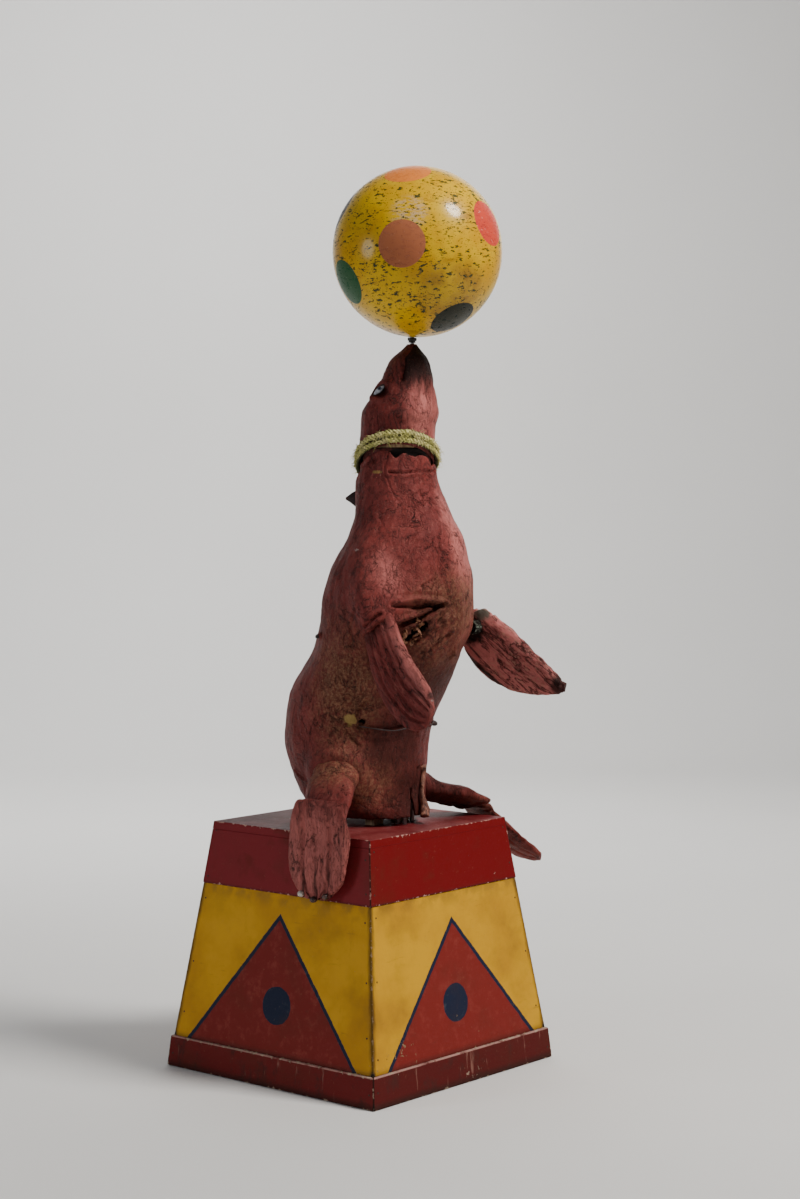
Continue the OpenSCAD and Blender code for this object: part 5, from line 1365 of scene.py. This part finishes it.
# Nose joint: a black turned sleeve over the steel spindle that carries the ball.
LEAN = math.radians(4.7)
ball_way = np.array((0, -math.sin(LEAN), math.cos(LEAN)))
nose_tip = np.array((0, -0.128, 1.322))
ebonite = Finish("black_sleeve")
turned = ebonite.noise(0.002, stretch=(0.3, 0.3, 3), detail=4.0)
dust = ebonite.noise(0.006, detail=5.0, rough=0.7)
black_sleeve = ebonite.done(
    Base_Color=ebonite.mix(dust.over(0.58, 0.74), (0.008, 0.008, 0.009), (0.18, 0.165, 0.15)),
    Roughness=turned * 0.2 + 0.3,
    Normal=ebonite.bump(turned, 0.0004),
)
SLEEVE = (  # height over the nose and radius, in mm
    (2.2, 5.4), (2.4, 6.2), (3.4, 6.6), (4.2, 6.0), (5.0, 5.9), (5.6, 7.4), (6.4, 8.2), (9.6, 8.4),
    (10.4, 8.0), (11.4, 7.6),
)
sleeve_path = np.array([nose_tip + ball_way * h * 0.001 for h, r in SLEEVE])
sleeve = tube(sleeve_path, np.array([r for h, r in SLEEVE]) * 0.001, 40)
ringed_piece(
    "ball_sleeve", sleeve, "ball", black_sleeve, "spindle_collar", ends=BOTH
)

# Ball: a turned hollow ball in old yellow gloss with coloured spots, chipped all round in
# short dashes that show the dark green under-coat, and rubbed pale where it was handled.
BALL_R, BALL_AT = 0.1525, nose_tip + ball_way * 0.1645
SPOTS = [  # direction from the ball's middle, and paint
    ((-0.87, -0.493, -0.002), "terracotta"), ((-0.413, -0.198, 0.889), "orange"),
    ((0.175, -0.942, 0.288), "red"), ((-0.833, 0.383, -0.399), "green"),
    ((-0.019, -0.564, -0.826), "dark"), ((0.56, 0.2, 0.805), "green"),
    ((0.9, -0.4, 0.17), "orange"), ((0.77, 0.56, 0.305), "red"),
    ((-0.6, 0.64, 0.48), "dark"), ((0.12, 0.96, -0.25), "terracotta"),
    ((0.76, -0.14, -0.635), "green"),
]
SPOT_PAINTS = {  # the paint, and what shows where it is rubbed through
    "terracotta": ((0.4, 0.125, 0.062), (0.48, 0.2, 0.11)),
    "orange": ((0.68, 0.19, 0.035), (0.76, 0.36, 0.12)),
    "red": ((0.56, 0.05, 0.035), (0.88, 0.56, 0.47)),
    "green": ((0.01, 0.085, 0.035), (0.16, 0.26, 0.17)),
    "dark": ((0.006, 0.013, 0.01), (0.09, 0.11, 0.09)),
}
latitude = np.linspace(0.02, math.pi - 0.02, 121)[:, None]
longitude = np.linspace(0, math.tau, 160, endpoint=False)[None, :]
east, north = np.array((1.0, 0, 0)), np.cross(ball_way, (1.0, 0, 0))
unit = (
    -ball_way * np.cos(latitude)[..., None]
    + east * (np.sin(latitude) * np.cos(longitude))[..., None]
    + north * (np.sin(latitude) * np.sin(longitude))[..., None]
)
ball_skin = BALL_AT + unit * (BALL_R + 0.0003 * lumps(unit, 0.35, 40) - 0.00035)[..., None]
gloss = Finish("ball_gloss")
way = gloss.vector("NORMALIZE", gloss.vector("SUBTRACT", gloss.place, tuple(BALL_AT)))
cloud = gloss.noise(0.085, detail=5.0, rough=0.6)
grain = gloss.noise(0.012, stretch=(1, 1, 2.4), detail=6.0, rough=0.7)
speckle = gloss.noise(0.0042, stretch=(1, 1, 1.9), detail=3.0, rough=0.6, shift=(3, 1, 7))
streak = gloss.noise(0.045, stretch=(0.6, 0.6, 3.0), detail=5.0, shift=(7, 2, 1)).over(0.6, 0.74)


def facing(direction, soft):
    return gloss.vector("DOT_PRODUCT", way, direction, out="Value").over(*soft)


# Painted shade: the ball's lower front darkened brown, in clouds.
underside_shade = facing((-0.3, -0.8, -0.52), (0.88, 0.985)) * cloud.over(0.3, 0.6)
worn = facing((-0.77, -0.527, 0.36), (0.965, 0.995)) * grain.over(0.42, 0.58)
crowd = gloss.noise(0.06, detail=3.0, rough=0.6, shift=(1, 3, 2))
chip = gloss.noise(0.0115, stretch=(1, 1, 2.3), rough=0.66, shift=(5, 2, 8)) + crowd * 0.16
chip = chip.over(0.666, 0.678).most((speckle + crowd * 0.16).over(0.725, 0.74))
stray = gloss.cells(0.0105, (8, 8, 1), stretch=(1, 1, 1.6)).under(0.07, 0.12)
stray = stray * cloud.over(0.42, 0.56)
colour = gloss.coats(
    gloss.mix(cloud.over(0.4, 0.68), (0.66, 0.395, 0.001), (0.54, 0.275, 0.001)),
    (grain.over(0.56, 0.78) * 0.45, (0.36, 0.13, 0.01)),
    (streak * 0.5, (0.23, 0.09, 0.008)),
    (underside_shade * 0.75, (0.2, 0.085, 0.01)),
    (worn * 0.75, (0.58, 0.4, 0.23)),
    (chip * 0.94, (0.014, 0.034, 0.01)),
    (stray * 0.8, (0.04, 0.04, 0.012)),
)
scuff = gloss.noise(0.0055, detail=6.0, rough=0.72, shift=(2, 2, 6))
bare = 1.0
for at, kind in SPOTS:
    length = math.hypot(*at)
    spot = facing(tuple(c / length for c in at), (0.9608, 0.9628))
    bare = (1 - spot) * bare
    paint = gloss.mix(scuff.over(0.6, 0.7) * 0.8, *SPOT_PAINTS[kind])
    colour = gloss.mix(spot * 0.97, colour, paint)
ball_finish = gloss.done(
    Base_Color=colour,
    Roughness=grain * 0.16 + cloud * 0.16 + chip * 0.3 + 0.17,
    Normal=gloss.bump(grain * 0.25 - chip * 0.8, 0.0009),
    Coat_Weight=bare * 0.34,
    Coat_Roughness=0.13,
    Coat_IOR=1.42,
    Specular_IOR_Level=0.12,
)
ringed_piece("ball_shell", ball_skin, "ball", ball_finish, "ball", ends=BOTH)
